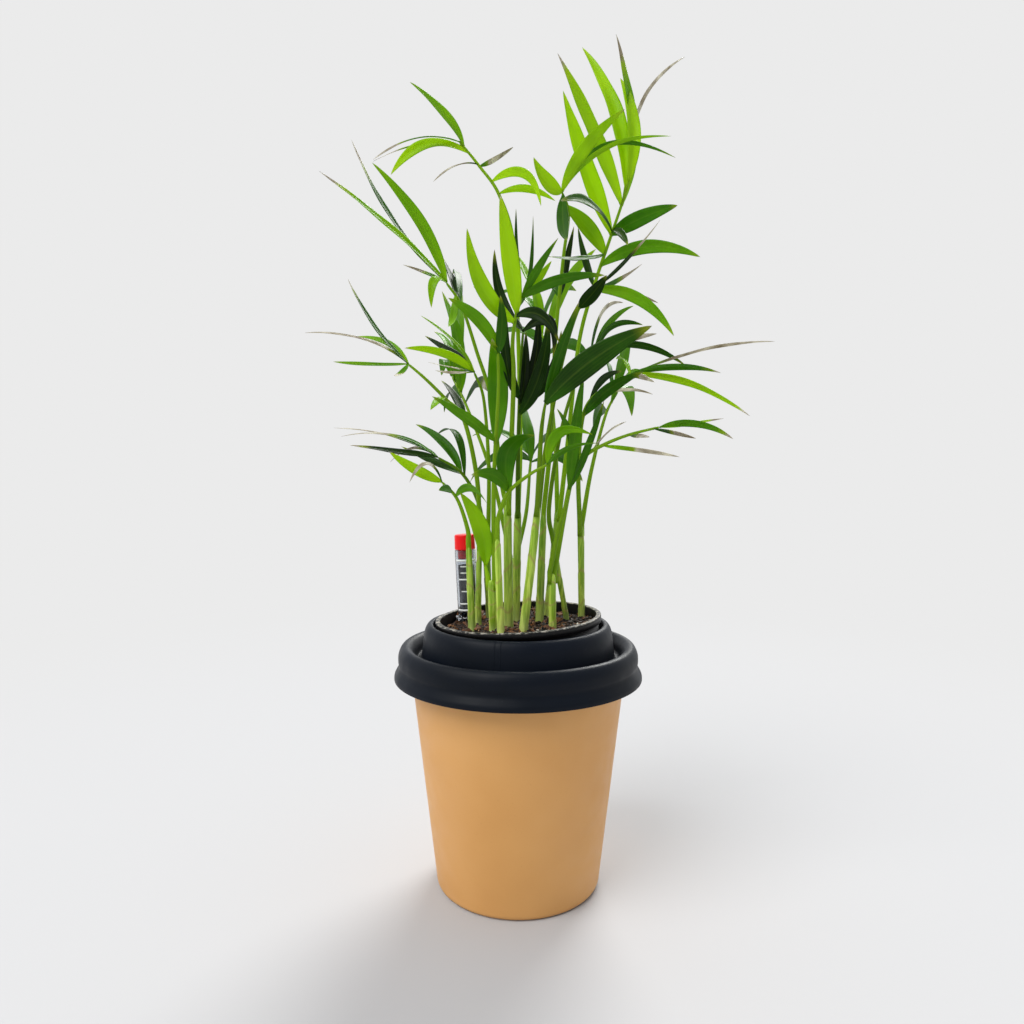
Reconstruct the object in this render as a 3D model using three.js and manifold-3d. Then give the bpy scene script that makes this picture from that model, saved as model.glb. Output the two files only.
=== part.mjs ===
// A parlour palm in a cup-shaped self-watering planter.
//
// A tapered cup holds the water. A moulded lid plugs into it, and the lid's collar lets a slim grow pot down
// until its hollow foot stands on the cup's floor. The pot is filled with potting mix, which draws water up
// through the slots in the foot. A float gauge passes through the pot's floor. Fourteen seedlings grow in the
// mix, each a sheathed stem that carries one or two fronds, and every leaflet has its own place.
//
// Millimetres, +Z up. The origin is the middle of the cup's underside, and the front of the planter faces -Y.
import * as THREE from "three";
import { mergeVertices } from "three/addons/utils/BufferGeometryUtils.js";
import Module from "manifold-3d";

const wasm = await Module();
wasm.setup();

// ---------------------------------------------------------------- driving dimensions
// Cup
const cupHeight = 96.3;
const cupBaseRadius = 35.1;
const cupTopRadius = 46.2;
const cupWall = 1.8;
const cupFloor = 3;
const cupCorner = 3; // rounding between underside and side
const cupBead = 1.1; // how far the rolled rim stands out
const cupBeadHeight = 3.2;

// Lid: its lip hangs outside the cup's rim, its collar stands inside it
const lidWall = 1.5;
const lipReach = 5.1; // from the cup's rim out to the side of the lip
const lipRise = 7.7; // from the cup's rim up to the top of the lip
const skirtDrop = 6.5; // from the cup's rim down to the edge of the skirt
const skirtFlare = 1.7;
const troughFloor = 1.9; // height of the trough above the cup's rim
const troughWidth = 2.5;
const lipInset = 2.3; // from the cup's rim in to the inner side of the lip
const collarHeight = 14.7; // from the trough to the top of the collar
const collarDraft = 1.3;
const collarShoulder = 3.9; // width of the rounded top of the collar
const sleeveDrop = 7; // the collar's mouth turns down this far
const plugDepth = 8.6; // ring that plugs into the cup
const plugWall = 1.3;

// Clearances
const seatGap = 0.3; // between pieces that rest on each other
const mouthClearance = 0.6; // between the collar's mouth and the pot's lip
const plugClearance = 0.5;

// Grow pot
const potProud = 2.7; // the pot's lip stands this far above the collar
const potLip = 1; // how far the lip overhangs the wall
const potLipHeight = 3;
const potWall = 1.2;
const potSideRoom = 4.65; // between the pot's floor and the cup's side, with the pot upright
const potSideGap = 0.5; // what is left of that room on the side that the pot leans to
const reservoirDepth = 28; // from the cup's floor up to the pot's floor
const footRadius = 11;
const footSlots = 6;
const footSlotWidth = 2.4;
const footSlotHeight = 14;

// Potting mix
const mixBelowLip = 4;
const mixCrown = 1.2;

// Float gauge
const gaugeRadius = 4.6;
const gaugeWall = 0.9;
const gaugeAboveLip = 28.4; // tube above the pot's lip
const gaugeBearing = THREE.MathUtils.degToRad(153);
const gaugeInset = 1.65; // from the pot's wall to the tube, at the pot's floor
const gaugeRing = 1.2; // width of the ring that rests on the mix
const gaugeWindow = { width: 3, height: 9, above: 3 };
const capHeight = 7;
const capPlug = 4;
const capRadius = 4.4;
const capClearance = 0.3;
const floatRadius = 3;
const floatHeight = 20;
const floatRod = 1.1;
const plungerLength = 20;
const floatTravel = 14;

// Palm
const plantHeight = 251; // from the mix to the tallest leaf tip
const rootDepth = 10; // how far a stem reaches down into the mix
const stemClearance = 0.3;
const petioleRadius = 0.95;
const rachisTipRadius = 0.5;
const bladeThickness = 0.5;
const bladeClearance = 0.35; // kept between the leaflets of different fronds
const forkSpread = 1.35; // half the distance between two petioles on one stem

// Fineness of the faceted shapes
const roundSteps = 36;
const smallRoundSteps = 16;
const stemSides = 7;
const rachisSides = 5;
const bladeStations = [0, 0.15, 0.4, 0.72, 1];

// ---------------------------------------------------------------- derived sizes
const cupSlope = (cupTopRadius - cupBaseRadius) / cupHeight;
const cupOuter = (z) => cupBaseRadius + cupSlope * z;
const cupInner = (z) => cupOuter(z) - cupWall;
const lipInnerRadius = cupTopRadius - lipInset;
const collarFootRadius = lipInnerRadius - troughWidth;
const collarTopRadius = collarFootRadius - collarDraft;
const mouthRadius = collarTopRadius - collarShoulder;
const troughZ = cupHeight + troughFloor;
const collarTopZ = troughZ + collarHeight;
const potLipRadius = mouthRadius - mouthClearance;
const potTopRadius = potLipRadius - potLip;
const potFloorZ = cupFloor + reservoirDepth;
const potFloorRadius = cupInner(potFloorZ) - potSideRoom;
const potLipZ = collarTopZ + potProud;
// Heights inside the leaning pot are measured down from its lip.
const potFloorDepth = potLipZ - potFloorZ;
// The pot is not upright: its floor has slid sideways until it all but touches the cup.
const potLean = Math.asin((potSideRoom - potSideGap) / potFloorDepth);
const wallDraft = (potTopRadius - potFloorRadius) / potFloorDepth;
const potOuter = (depth) => potTopRadius - wallDraft * depth;
const mixWall = (depth) => potOuter(depth) - potWall - seatGap;
const mixRadius = mixWall(mixBelowLip);
const footDepth = potLipZ - cupFloor - seatGap - footRadius * Math.sin(potLean);
const mixMiddleZ = potLipZ - mixBelowLip;
const gaugeDistance = potFloorRadius - potWall - gaugeInset - gaugeRadius;
const gaugeX = gaugeDistance * Math.cos(gaugeBearing);
const gaugeY = gaugeDistance * Math.sin(gaugeBearing);
const gaugeDepth = footDepth - (gaugeDistance + gaugeRadius - footRadius) * Math.sin(potLean);

// ---------------------------------------------------------------- geometry helpers
// Turns a closed profile of [radius, height] pairs about the Z axis.
function turned(profile, steps = roundSteps) {
  const points = profile.map(([radius, height]) => new THREE.Vector2(radius, height));
  return new THREE.LatheGeometry(points, steps).rotateX(Math.PI / 2);
}

// A quarter-round from one profile point towards another, as a few points.
function corner(centreR, centreZ, radius, fromDegrees, toDegrees, steps = 4) {
  return Array.from({ length: steps + 1 }, (_, i) => {
    const angle = THREE.MathUtils.degToRad(fromDegrees + ((toDegrees - fromDegrees) * i) / steps);
    return [centreR + radius * Math.cos(angle), centreZ + radius * Math.sin(angle)];
  });
}

// A closed skin over a row of rings that all have the same number of points.
function loft(rings) {
  const sides = rings[0].length;
  const last = (rings.length - 1) * sides;
  const faces = [];
  for (let ring = 0; ring < last; ring += sides) {
    for (let i = 0; i < sides; i++) {
      const next = (i + 1) % sides;
      faces.push(ring + i, ring + next, ring + sides + i);
      faces.push(ring + next, ring + sides + next, ring + sides + i);
    }
  }
  for (let i = 1; i < sides - 1; i++) {
    faces.push(0, i + 1, i);
    faces.push(last, last + i, last + i + 1);
  }
  return new THREE.BufferGeometry().setFromPoints(rings.flat()).setIndex(faces);
}

// A round rod along a curve, tapering from one radius to the other.
function taperedRod(curve, steps, startRadius, endRadius, sides) {
  const frames = curve.computeFrenetFrames(steps, false);
  const rings = [];
  for (let i = 0; i <= steps; i++) {
    const share = i / steps;
    const centre = curve.getPointAt(share);
    const radius = THREE.MathUtils.lerp(startRadius, endRadius, share);
    const ring = [];
    for (let side = 0; side < sides; side++) {
      const angle = (side / sides) * 2 * Math.PI;
      const out = frames.normals[i].clone().multiplyScalar(Math.cos(angle));
      out.addScaledVector(frames.binormals[i], Math.sin(angle));
      ring.push(centre.clone().addScaledVector(out, radius));
    }
    rings.push(ring);
  }
  return loft(rings);
}

function merged(geometry) {
  const bare = geometry.clone();
  bare.deleteAttribute("normal");
  bare.deleteAttribute("uv");
  return mergeVertices(bare, 1e-3);
}

// A closed geometry as a solid that can be joined and cut.
function solid(geometry) {
  const welded = merged(geometry);
  const corners = welded.index.array;
  const kept = [];
  for (let i = 0; i < corners.length; i += 3) {
    const [a, b, c] = corners.subarray(i, i + 3);
    if (a !== b && b !== c && c !== a) kept.push(a, b, c);
  }
  const vertProperties = welded.getAttribute("position").array;
  return new wasm.Manifold(new wasm.Mesh({ numProp: 3, vertProperties, triVerts: new Uint32Array(kept) }));
}

function geometryOf(shape) {
  const { vertProperties, triVerts } = shape.getMesh();
  const geometry = new THREE.BufferGeometry().setIndex(new THREE.BufferAttribute(triVerts, 1));
  return geometry.setAttribute("position", new THREE.BufferAttribute(vertProperties, 3));
}

const group = new THREE.Group();

function addPiece(name, geometry, look) {
  const { color, roughness = 0.6, metalness = 0, opacity = 1 } = look;
  const material = new THREE.MeshStandardMaterial({ color, roughness, metalness });
  material.opacity = opacity;
  material.transparent = opacity < 1;
  const mesh = new THREE.Mesh(geometry, material);
  mesh.name = name;
  group.add(mesh);
  return mesh;
}

const looks = {
  kraft: { color: 0xcd9e66, roughness: 0.55 },
  black: { color: 0x1b2128, roughness: 0.5 },
  mix: { color: 0x3a261a, roughness: 0.95 },
  clear: { color: 0xdfe8ea, roughness: 0.1, opacity: 0.35 },
  red: { color: 0xd8121a, roughness: 0.35 },
  dark: { color: 0x16191c, roughness: 0.4 },
  stem: { color: 0x9bb85a, roughness: 0.5 },
  leaf: { color: 0x4f9a1c, roughness: 0.45 },
};

// ---------------------------------------------------------------- cup
// Thin-walled tapered moulding with a rolled rim that the lid sits on.
const cupProfile = [
  [0, 0],
  ...corner(cupOuter(cupCorner) - cupCorner, cupCorner, cupCorner, -90, 0),
  [cupOuter(cupHeight - cupBeadHeight), cupHeight - cupBeadHeight],
  [cupTopRadius + cupBead, cupHeight - 0.7 * cupBeadHeight],
  [cupTopRadius + cupBead, cupHeight - 0.3 * cupBeadHeight],
  [cupTopRadius, cupHeight],
  [cupTopRadius - cupWall, cupHeight],
  [cupInner(cupFloor + cupCorner), cupFloor + cupCorner],
  [cupInner(cupFloor) - cupCorner, cupFloor],
  [0, cupFloor],
];
addPiece("cup", turned(cupProfile), looks.kraft);

// ---------------------------------------------------------------- lid
// One moulding: flared skirt, rounded lip, trough, collar with a rounded shoulder, and a mouth that turns down.
// The profile is listed outside first, from the skirt's edge to the mouth, and then back along the underside.
const lipRadius = cupTopRadius + lipReach;
const lipTopZ = cupHeight + lipRise;
const skirtZ = cupHeight - skirtDrop;
const undersideZ = cupHeight + seatGap;
const lipMiddle = (lipRadius + lipInnerRadius) / 2;
const plugRadius = cupInner(cupHeight - plugDepth) - plugClearance;
const lidProfile = [
  [lipRadius + skirtFlare, skirtZ],
  [lipRadius + skirtFlare, skirtZ + 1.4],
  [lipRadius, cupHeight - 0.8],
  [lipRadius, lipTopZ - 4.4],
  [lipRadius - 0.9, lipTopZ - 1.4],
  [lipMiddle + 1.1, lipTopZ],
  [lipMiddle - 1.2, lipTopZ - 0.2],
  [lipInnerRadius + 0.5, lipTopZ - 1.8],
  [lipInnerRadius, lipTopZ - 4.4],
  [lipInnerRadius - 0.5, troughZ],
  [collarFootRadius + 0.4, troughZ],
  [collarFootRadius, troughZ + 1.2],
  [collarTopRadius, collarTopZ - 3.9],
  [collarTopRadius - 0.7, collarTopZ - 1.3],
  [collarTopRadius - 2.2, collarTopZ],
  [mouthRadius + 0.5, collarTopZ],
  [mouthRadius, collarTopZ - 0.5],
  [mouthRadius, collarTopZ - sleeveDrop],
  [mouthRadius + lidWall, collarTopZ - sleeveDrop],
  [mouthRadius + lidWall, collarTopZ - lidWall - 1],
  [collarTopRadius - 2.4, collarTopZ - lidWall],
  [collarTopRadius - lidWall - 0.2, collarTopZ - 4.1],
  [collarFootRadius - lidWall, troughZ],
  [collarFootRadius - lidWall, undersideZ],
  [plugRadius - plugWall, undersideZ],
  [plugRadius - plugWall, undersideZ - plugDepth],
  [plugRadius, undersideZ - plugDepth],
  [plugRadius, undersideZ],
  [lipInnerRadius + lidWall, undersideZ],
  [lipInnerRadius + lidWall, lipTopZ - 4.2],
  [lipMiddle - 1, lipTopZ - lidWall - 0.3],
  [lipMiddle + 1, lipTopZ - lidWall],
  [lipRadius - lidWall, lipTopZ - 4.2],
  [lipRadius - lidWall, cupHeight - 1],
  [lipRadius + skirtFlare - lidWall, skirtZ + 1.4],
  [lipRadius + skirtFlare - lidWall, skirtZ],
  [lipRadius + skirtFlare, skirtZ],
];
addPiece("lid", turned(lidProfile), looks.black);

// ---------------------------------------------------------------- grow pot, leaning in the collar
// The pot's own axis runs through the middle of its lip, and everything in it leans with it.
const leanMatrix = new THREE.Matrix4()
  .makeTranslation(0, 0, potLipZ)
  .multiply(new THREE.Matrix4().makeRotationY(-potLean));
const inPot = (geometry) => geometry.applyMatrix4(leanMatrix);
const inGauge = (geometry) => inPot(geometry.translate(gaugeX, gaugeY, 0));

const potProfile = [
  [0, -footDepth],
  [footRadius, -footDepth],
  [footRadius, -potFloorDepth],
  [potOuter(potFloorDepth), -potFloorDepth],
  [potTopRadius, -potLipHeight],
  [potLipRadius, -potLipHeight],
  [potLipRadius, -0.5],
  [potLipRadius - 0.4, 0],
  [potTopRadius - potWall + 0.2, 0],
  [potTopRadius - potWall, -0.4],
  [potOuter(potFloorDepth - potWall) - potWall, potWall - potFloorDepth],
  [footRadius - potWall, potWall - potFloorDepth],
  [footRadius - potWall, potWall - footDepth],
  [0, potWall - footDepth],
];
let pot = solid(inPot(turned(potProfile)));
for (let i = 0; i < footSlots; i++) {
  const slot = new THREE.BoxGeometry(4 * potWall, footSlotWidth, footSlotHeight)
    .translate(footRadius - potWall / 2, 0, 3 - footDepth + footSlotHeight / 2)
    .rotateZ(((i + 0.5) / footSlots) * 2 * Math.PI);
  pot = pot.subtract(solid(inPot(slot)));
}
const tubeBore = (clearance) => {
  const bore = turned(
    [
      [0, -gaugeDepth - 1],
      [gaugeRadius + clearance, -gaugeDepth - 1],
      [gaugeRadius + clearance, 2],
      [0, 2],
    ],
    smallRoundSteps,
  );
  return solid(inGauge(bore));
};
pot = pot.subtract(tubeBore(seatGap));
addPiece("grow_pot", geometryOf(pot), looks.black);

// ---------------------------------------------------------------- float gauge
// Clear tube, closed below apart from two windows that let the water in, with a ring that rests on the mix.
const tubeTop = gaugeAboveLip;
const ringBottom = mixCrown - mixBelowLip + seatGap;
const tubeProfile = [
  [0, -gaugeDepth],
  [gaugeRadius, -gaugeDepth],
  [gaugeRadius, ringBottom],
  [gaugeRadius + gaugeRing, ringBottom],
  [gaugeRadius + gaugeRing, ringBottom + gaugeRing],
  [gaugeRadius, ringBottom + gaugeRing],
  [gaugeRadius, tubeTop],
  [gaugeRadius - gaugeWall, tubeTop],
  [gaugeRadius - gaugeWall, gaugeWall - gaugeDepth],
  [0, gaugeWall - gaugeDepth],
];
const windows = new THREE.BoxGeometry(3 * gaugeRadius, gaugeWindow.width, gaugeWindow.height);
windows.translate(0, 0, gaugeWindow.above + gaugeWindow.height / 2 - gaugeDepth);
const tube = solid(inGauge(turned(tubeProfile, smallRoundSteps))).subtract(solid(inGauge(windows)));
addPiece("gauge_tube", geometryOf(tube), looks.clear);

const capProfile = [
  [0, tubeTop - capPlug],
  [gaugeRadius - gaugeWall - capClearance, tubeTop - capPlug],
  [gaugeRadius - gaugeWall - capClearance, tubeTop + capClearance],
  [capRadius, tubeTop + capClearance],
  [capRadius, tubeTop + capHeight - 1],
  [capRadius - 0.9, tubeTop + capHeight],
  [0, tubeTop + capHeight],
];
addPiece("gauge_cap", inGauge(turned(capProfile, smallRoundSteps)), looks.red);

// The float rests on the tube's floor, as it does when the cup is empty, and its plunger shows in the tube.
const floatFoot = gaugeWall + seatGap - gaugeDepth;
const plungerTop = tubeTop - capPlug - floatTravel - 0.5;
const floatProfile = [
  [0, floatFoot],
  [floatRadius - 0.6, floatFoot],
  [floatRadius, floatFoot + 0.8],
  [floatRadius, floatFoot + floatHeight - 0.8],
  [floatRadius - 0.6, floatFoot + floatHeight],
  [floatRod, floatFoot + floatHeight],
  [floatRod, plungerTop - plungerLength],
  [floatRadius, plungerTop - plungerLength + 1],
  [floatRadius, plungerTop],
  [0, plungerTop],
];
addPiece("gauge_float", inGauge(turned(floatProfile, smallRoundSteps)), looks.dark);

// ---------------------------------------------------------------- palm layout
// Heights are above the middle of the mix. A stem's foot is given where it meets the mix, and its top where its
// sheath opens and the petioles come out: [foot x, y], [top x, y, height], [radius at foot, at top].
const designSoilRadius = 32.5;
const designHeight = 251;
const stems = {
  stem_01: { foot: [-19, -12], top: [-20.5, -12.5, 36], radii: [1.5, 1.15] },
  stem_02: { foot: [-10, -15], top: [-11, -17, 22], radii: [1.7, 1.5] },
  stem_03: { foot: [-7, -21], top: [-8.5, -21, 40], radii: [1.6, 1.2] },
  stem_04: { foot: [-4, -5], top: [-4.5, -7, 52], radii: [2, 1.5] },
  stem_05: { foot: [2, -16], top: [8, -15, 52], radii: [1.9, 1.5] },
  stem_06: { foot: [-1, 7], top: [0, 5, 50], radii: [1.8, 1.5] },
  stem_07: { foot: [9, 0], top: [11, 2.5, 48], radii: [1.8, 1.3] },
  stem_08: { foot: [14, -13], top: [14, -12.5, 24], radii: [1.6, 1.5] },
  stem_09: { foot: [21, 2], top: [15, -2, 36], radii: [1.2, 1] },
  stem_10: { foot: [28, 10], top: [27.5, 7, 42], radii: [1.3, 1.3] },
  stem_11: { foot: [-12.5, 15], top: [-14, 13.5, 30], radii: [1.6, 1.4] },
  stem_12: { foot: [13, 11], top: [18, 12, 48], radii: [1.9, 1.5] },
  stem_13: { foot: [-2, 22], top: [-2, 23, 26], radii: [1.7, 1.5] },
  stem_14: { foot: [-17, -1], top: [-16.5, -3, 34], radii: [1.4, 1.1] },
};

// A frond: its stem, the points that its petiole and rachis pass through after leaving the stem, and its
// leaflets. A leaflet is [share of the way along those points, tip x, y, height, width, arch, turn]: the arch is
// how far its midline bows upwards, and the turn is the angle of its face from the front of the plant.
const fronds = {
  frond_low_left_front: {
    stem: "stem_01",
    path: [[-21, -13, 43], [-25, -15, 55], [-31, -17, 62]],
    leaflets: [
      [1, -51, -24, 74, 4.5, -0.5, 20],
      [0.79, -31, -30, 59, 3.5, 1, 30],
      [1, -43, -25, 62, 2.5, 7, 60],
      [0.7, -12, -36, 54, 3.5, 5, 30],
    ],
  },
  frond_low_left_back: {
    stem: "stem_11",
    path: [[-17, 9, 51], [-24, 3, 65], [-34, -2, 72]],
    leaflets: [
      [1, -70, -8, 77, 4, 0, 50],
      [1, -76, 4, 81, 2.5, 5, 65],
      [1, -81, 12, 85, 2.5, 3, 70],
      [0.68, -46, 20, 87, 4.5, 3, 30],
      [1, -56, 10, 70, 2.5, 5, 60],
      [0.63, -38, 30, 82, 3.5, 12, 45],
      [0.66, -52, 16, 77, 4, 0, 45],
    ],
  },
  frond_mid_left: {
    stem: "stem_14",
    path: [[-17, -9, 62], [-22, -16, 87], [-29, -16, 95], [-37, -18, 103], [-44, -18, 109]],
    leaflets: [
      [1, -69, -12, 144, 3, -2, 60],
      [1, -83, -26, 120, 3.5, 4, 72],
      [1, -74, -18, 110, 3, -1, 55],
      [1, -67, -5, 122, 3.5, 3.5, 45],
      [1, -48, -30, 103, 3.5, -1.5, 40],
      [0.62, -34, -30, 90, 3.5, 1, 30],
      [0.4, -33, 6, 105, 4, 1.5, 40],
    ],
  },
  frond_left_short: {
    stem: "stem_11",
    path: [[-13, 17, 66], [-15, 14, 97], [-19, 9, 109]],
    leaflets: [
      [1, -48, 0, 118, 4.5, 3, 20],
      [1, -42, 8, 133, 2.5, 3, 50],
      [1, -37, -8, 111, 2.5, 0, 70],
      [1, -42, 24, 127, 4.5, 1, 35],
      [1, -37, 20, 111, 2.5, -0.5, 60],
    ],
  },
  frond_upper_left: {
    stem: "stem_04",
    path: [[-7, -5, 62], [-11, -7, 95], [-17, -9, 115], [-23, -12, 133], [-29, -14, 142]],
    leaflets: [
      [1, -57, -22, 186, 5, 4, 15],
      [1, -68, -6, 201, 3.5, -3, 55],
      [1, -77, -24, 182, 4, 2, 50],
      [1, -48, -2, 152, 2.5, 0.5, 50],
      [1, -34, -24, 130, 4, 6, 10],
      [0.88, -27, -28, 122, 3.5, -3, 20],
      [0.87, -33, 18, 160, 3.5, -1, 30],
      [0.82, -30, 34, 157, 3.5, 6, 40],
    ],
  },
  frond_front_left: {
    stem: "stem_02",
    path: [[-10, -18, 60], [-8, -24, 96], [-8, -30, 112]],
    leaflets: [
      [1, -26, -42, 130, 5.5, 2.5, 15],
      [0.48, -10, -38, 116, 8.5, 15.5, 5],
      [0.49, -32, -44, 94, 4.5, 2, 15],
      [0.99, -7, -32, 133, 4.5, -2, 20],
    ],
  },
  frond_young_blade: {
    stem: "stem_02",
    path: [[-13.5, -17, 28]],
    leaflets: [
      [1, -23, -26, 58, 7.5, 3, 10],
    ],
  },
  frond_front_upright: {
    stem: "stem_04",
    path: [[-2, -16, 101], [-2.4, -21, 116], [-1.2, -24, 126], [1.2, -23, 134]],
    leaflets: [
      [0.8, -7, -36, 169, 7, -0.5, 5],
      [0.71, -19, -42, 155, 6.5, -5, 10],
      [1, 13, -20, 149, 3.5, 0, 25],
      [1, 33, -30, 141, 4.5, 3, 30],
      [1, -1, -14, 171, 2.5, -3, 50],
      [1, 15, -30, 155, 3.5, 1.5, 30],
      [0.89, 6, -8, 170, 2.5, -7, 50],
      [0.77, 15, -40, 114, 5, 6, 20],
    ],
  },
  frond_top_left: {
    stem: "stem_06",
    path: [[1, 9, 79], [0, 6, 126], [-2, 1, 162], [-8, -4, 180], [-16, -8, 190], [-24, -10, 199]],
    leaflets: [
      [0.96, -43, -14, 220, 5, 2, 40],
      [0.99, -55, -30, 184, 2.5, 4.5, 60],
      [0.96, -60, -2, 194, 4, 3.5, 60],
      [0.91, -50, -20, 182, 5.5, 7, 25],
      [0.84, -33, -24, 178, 2.5, 2.5, 60],
      [0.83, -2, 6, 203, 2.5, 0, 55],
      [0.73, 9, -14, 172, 4, 7.5, 35],
      [0.67, 16, 10, 182, 3.5, 3.5, 45],
    ],
  },
  frond_centre: {
    stem: "stem_06",
    path: [[0, -2, 75], [1, -6, 108], [2, -6, 124]],
    leaflets: [
      [1, 14, -14, 113, 5, 9.5, 30],
      [0.48, 12, -16, 126, 6.5, -3.5, 15],
      [1, -20, 24, 149, 4.5, -0.5, 30],
      [1, -10, 4, 160, 4.5, -4.5, 20],
      [0.51, 3, -12, 123, 4, -1.5, 20],
      [0.52, 8, -4, 133, 5, -3, 15],
      [0.54, -5, -20, 131, 5, -6.5, 20],
      [0.52, 18, -2, 125, 5, -4.5, 20],
    ],
  },
  frond_top_centre: {
    stem: "stem_07",
    path: [[14, 4, 79], [16, 6, 122], [19, 4, 155], [21, 0, 173], [18, -4, 181]],
    leaflets: [
      [1, 41, -22, 206, 5.5, 5.5, 15],
      [1, 61, -12, 200, 2.5, 8.5, 50],
      [1, 64, -8, 193, 2.5, 14.5, 55],
      [1, 6, -14, 191, 6.5, -3, 10],
      [0.97, 18, -34, 153, 5.5, -3, 30],
      [0.5, 25, 22, 175, 3.5, -3, 15],
      [0.5, 9, 24, 147, 4, 4.5, 40],
    ],
  },
  frond_crown: {
    stem: "stem_12",
    path: [[22, 12, 79], [27, 15, 123], [34, 14, 149], [39, 12, 164], [44, 8, 179], [47, 6, 189]],
    leaflets: [
      [0.84, 41, 6, 249, 7, 8.5, 50],
      [0.84, 15, -20, 228, 7, 4.5, 15],
      [0.93, 28, 20, 251, 7, 6, 10],
      [1, 44, 14, 235, 6, 5.5, 10],
      [0.71, 19, 8, 227, 8, -0.5, 10],
      [0.71, 64, -12, 173, 7, 1.5, 10],
      [0.56, 72, -18, 151, 6, 6.5, 15],
      [0.72, 16, -26, 170, 6, 6, 30],
      [0.62, 17, 0, 178, 7.5, 3.5, 10],
      [1, 74, 24, 249, 2.5, 10.5, 60],
      [0.73, 43, -20, 155, 3.5, 1, 30],
      [0.62, 11, -34, 147, 3.5, -1.5, 35],
      [0.48, 27, 24, 175, 3.5, -0.5, 15],
    ],
  },
  frond_right_upper: {
    stem: "stem_05",
    path: [[11, -12, 74], [17, -11, 107], [24, -10, 131], [30, -10, 140]],
    leaflets: [
      [1, 62, -18, 120, 5, 4.5, 20],
      [1, 54, 12, 156, 2.5, -1, 50],
      [1, 55, -22, 164, 2.5, -2, 60],
      [0.78, 34, -26, 142, 6, 0, 20],
      [1, 62, 16, 140, 2.5, 0.5, 50],
    ],
  },
  frond_broad_right: {
    stem: "stem_05",
    path: [[8.9, -20, 79], [9.7, -23, 88], [10.5, -25, 93]],
    leaflets: [
      [1, 50, -36, 121, 10, 2, 10],
      [0.93, 23, -31, 131, 4.5, 0, 20],
    ],
  },
  frond_mid_right_low: {
    stem: "stem_10",
    path: [[26, 3, 66], [28, 0, 91], [36, -4, 101], [46, -8, 106]],
    leaflets: [
      [1, 82, -14, 106, 4, 3, 50],
      [1, 91, -24, 88, 3.5, 3.5, 45],
      [1, 111, 8, 122, 2.5, 2.5, 68],
      [1, 53, -26, 101, 2.5, 1, 55],
      [0.6, 60, 16, 100, 2.5, 3, 55],
      [0.48, 50, -18, 106, 5.5, 4, 25],
      [0.58, 46, 14, 110, 3.5, 4.5, 30],
      [1, 43, 12, 115, 3.5, 3, 45],
    ],
  },
  frond_mid_right_high: {
    stem: "stem_09",
    path: [[13, -5, 51], [18, -4, 83], [26, 4, 107], [36, 10, 120]],
    leaflets: [
      [1, 72, 4, 111, 3.5, 4, 35],
      [0.91, 52, 22, 140, 3.5, 3.5, 40],
      [0.96, 54, 8, 129, 4, 6, 55],
      [1, 64, 30, 129, 3.5, 0.5, 35],
      [0.88, 50, 40, 145, 2.5, 10, 50],
    ],
  },
  frond_low_right: {
    stem: "stem_08",
    path: [[21.9, -11, 63], [26.9, -12, 72], [34.7, -14, 77], [44.7, -16, 81], [56.7, -18, 84]],
    leaflets: [
      [1, 84, -26, 79, 3.5, 3, 40],
      [1, 85, -8, 88, 2.5, -0.5, 55],
      [0.96, 68, -32, 79, 2.5, 0.5, 60],
      [0.59, 64, -22, 72, 3, 1, 50],
      [0.49, 48, 14, 88, 2.5, 2.5, 70],
      [0.8, 58, 12, 81, 2.5, -0.5, 50],
    ],
  },
  frond_low_bifid: {
    stem: "stem_08",
    path: [[16, -16, 41], [19.5, -17, 54], [20.5, -17, 59]],
    leaflets: [
      [1, 26, -19, 105, 5, 1.5, 15],
      [1, 35, -12, 95, 3.5, -0.5, 25],
      [1, 15, -24, 91, 4.5, 8.5, 30],
    ],
  },
  frond_front_low_right: {
    stem: "stem_03",
    path: [[-8, -22, 48], [-4, -26, 58], [4, -30, 65], [11, -32, 69]],
    leaflets: [
      [1, 27, -44, 80, 4.5, 8, 25],
      [0.53, 6, -38, 80, 8, 9, 15],
      [1, 30, -38, 77, 3.5, 3, 55],
      [0.5, -18, -38, 65, 5.5, 3.5, 20],
    ],
  },
  frond_back_high: {
    stem: "stem_12",
    path: [[17, 24, 80], [14, 40, 118], [10, 56, 142]],
    leaflets: [
      [1, 8, 98, 150, 7, 9, 75],
      [0.95, -14, 90, 158, 7, 8, 60],
      [0.92, 32, 92, 162, 7, 8, 60],
      [0.85, -6, 72, 182, 7, 5, 45],
      [0.8, 40, 70, 178, 7, 5, 45],
      [0.75, -16, 66, 132, 7, 7, 50],
      [0.7, 38, 76, 124, 7, 7, 50],
    ],
  },
  frond_back_left: {
    stem: "stem_13",
    path: [[-12, 31, 64], [-24, 42, 96], [-32, 52, 112]],
    leaflets: [
      [1, -40, 84, 116, 7, 8, 60],
      [0.95, -42, 66, 136, 6, 7, 50],
      [0.92, -34, 92, 132, 7, 8, 65],
      [0.85, -28, 74, 156, 7, 5, 40],
      [0.8, -37, 56, 154, 7, 5, 40],
      [0.75, -38, 76, 96, 7, 8, 60],
      [0.7, -14, 80, 106, 7, 8, 60],
    ],
  },
  frond_back_right: {
    stem: "stem_10",
    path: [[33, 18, 66], [41, 32, 92], [48, 42, 104]],
    leaflets: [
      [1, 60, 76, 94, 7, 8, 50],
      [0.95, 54, 90, 114, 7, 8, 60],
      [0.92, 66, 60, 112, 6, 6, 50],
      [0.85, 44, 84, 126, 7, 7, 60],
      [0.8, 58, 60, 136, 7, 4, 40],
      [0.7, 40, 80, 84, 7, 7, 60],
    ],
  },
  frond_back_low: {
    stem: "stem_13",
    path: [[4, 32, 46], [6, 44, 66], [7, 54, 74]],
    leaflets: [
      [1, -2, 98, 72, 8, 8, 70],
      [0.95, -24, 86, 84, 7, 7, 60],
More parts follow.
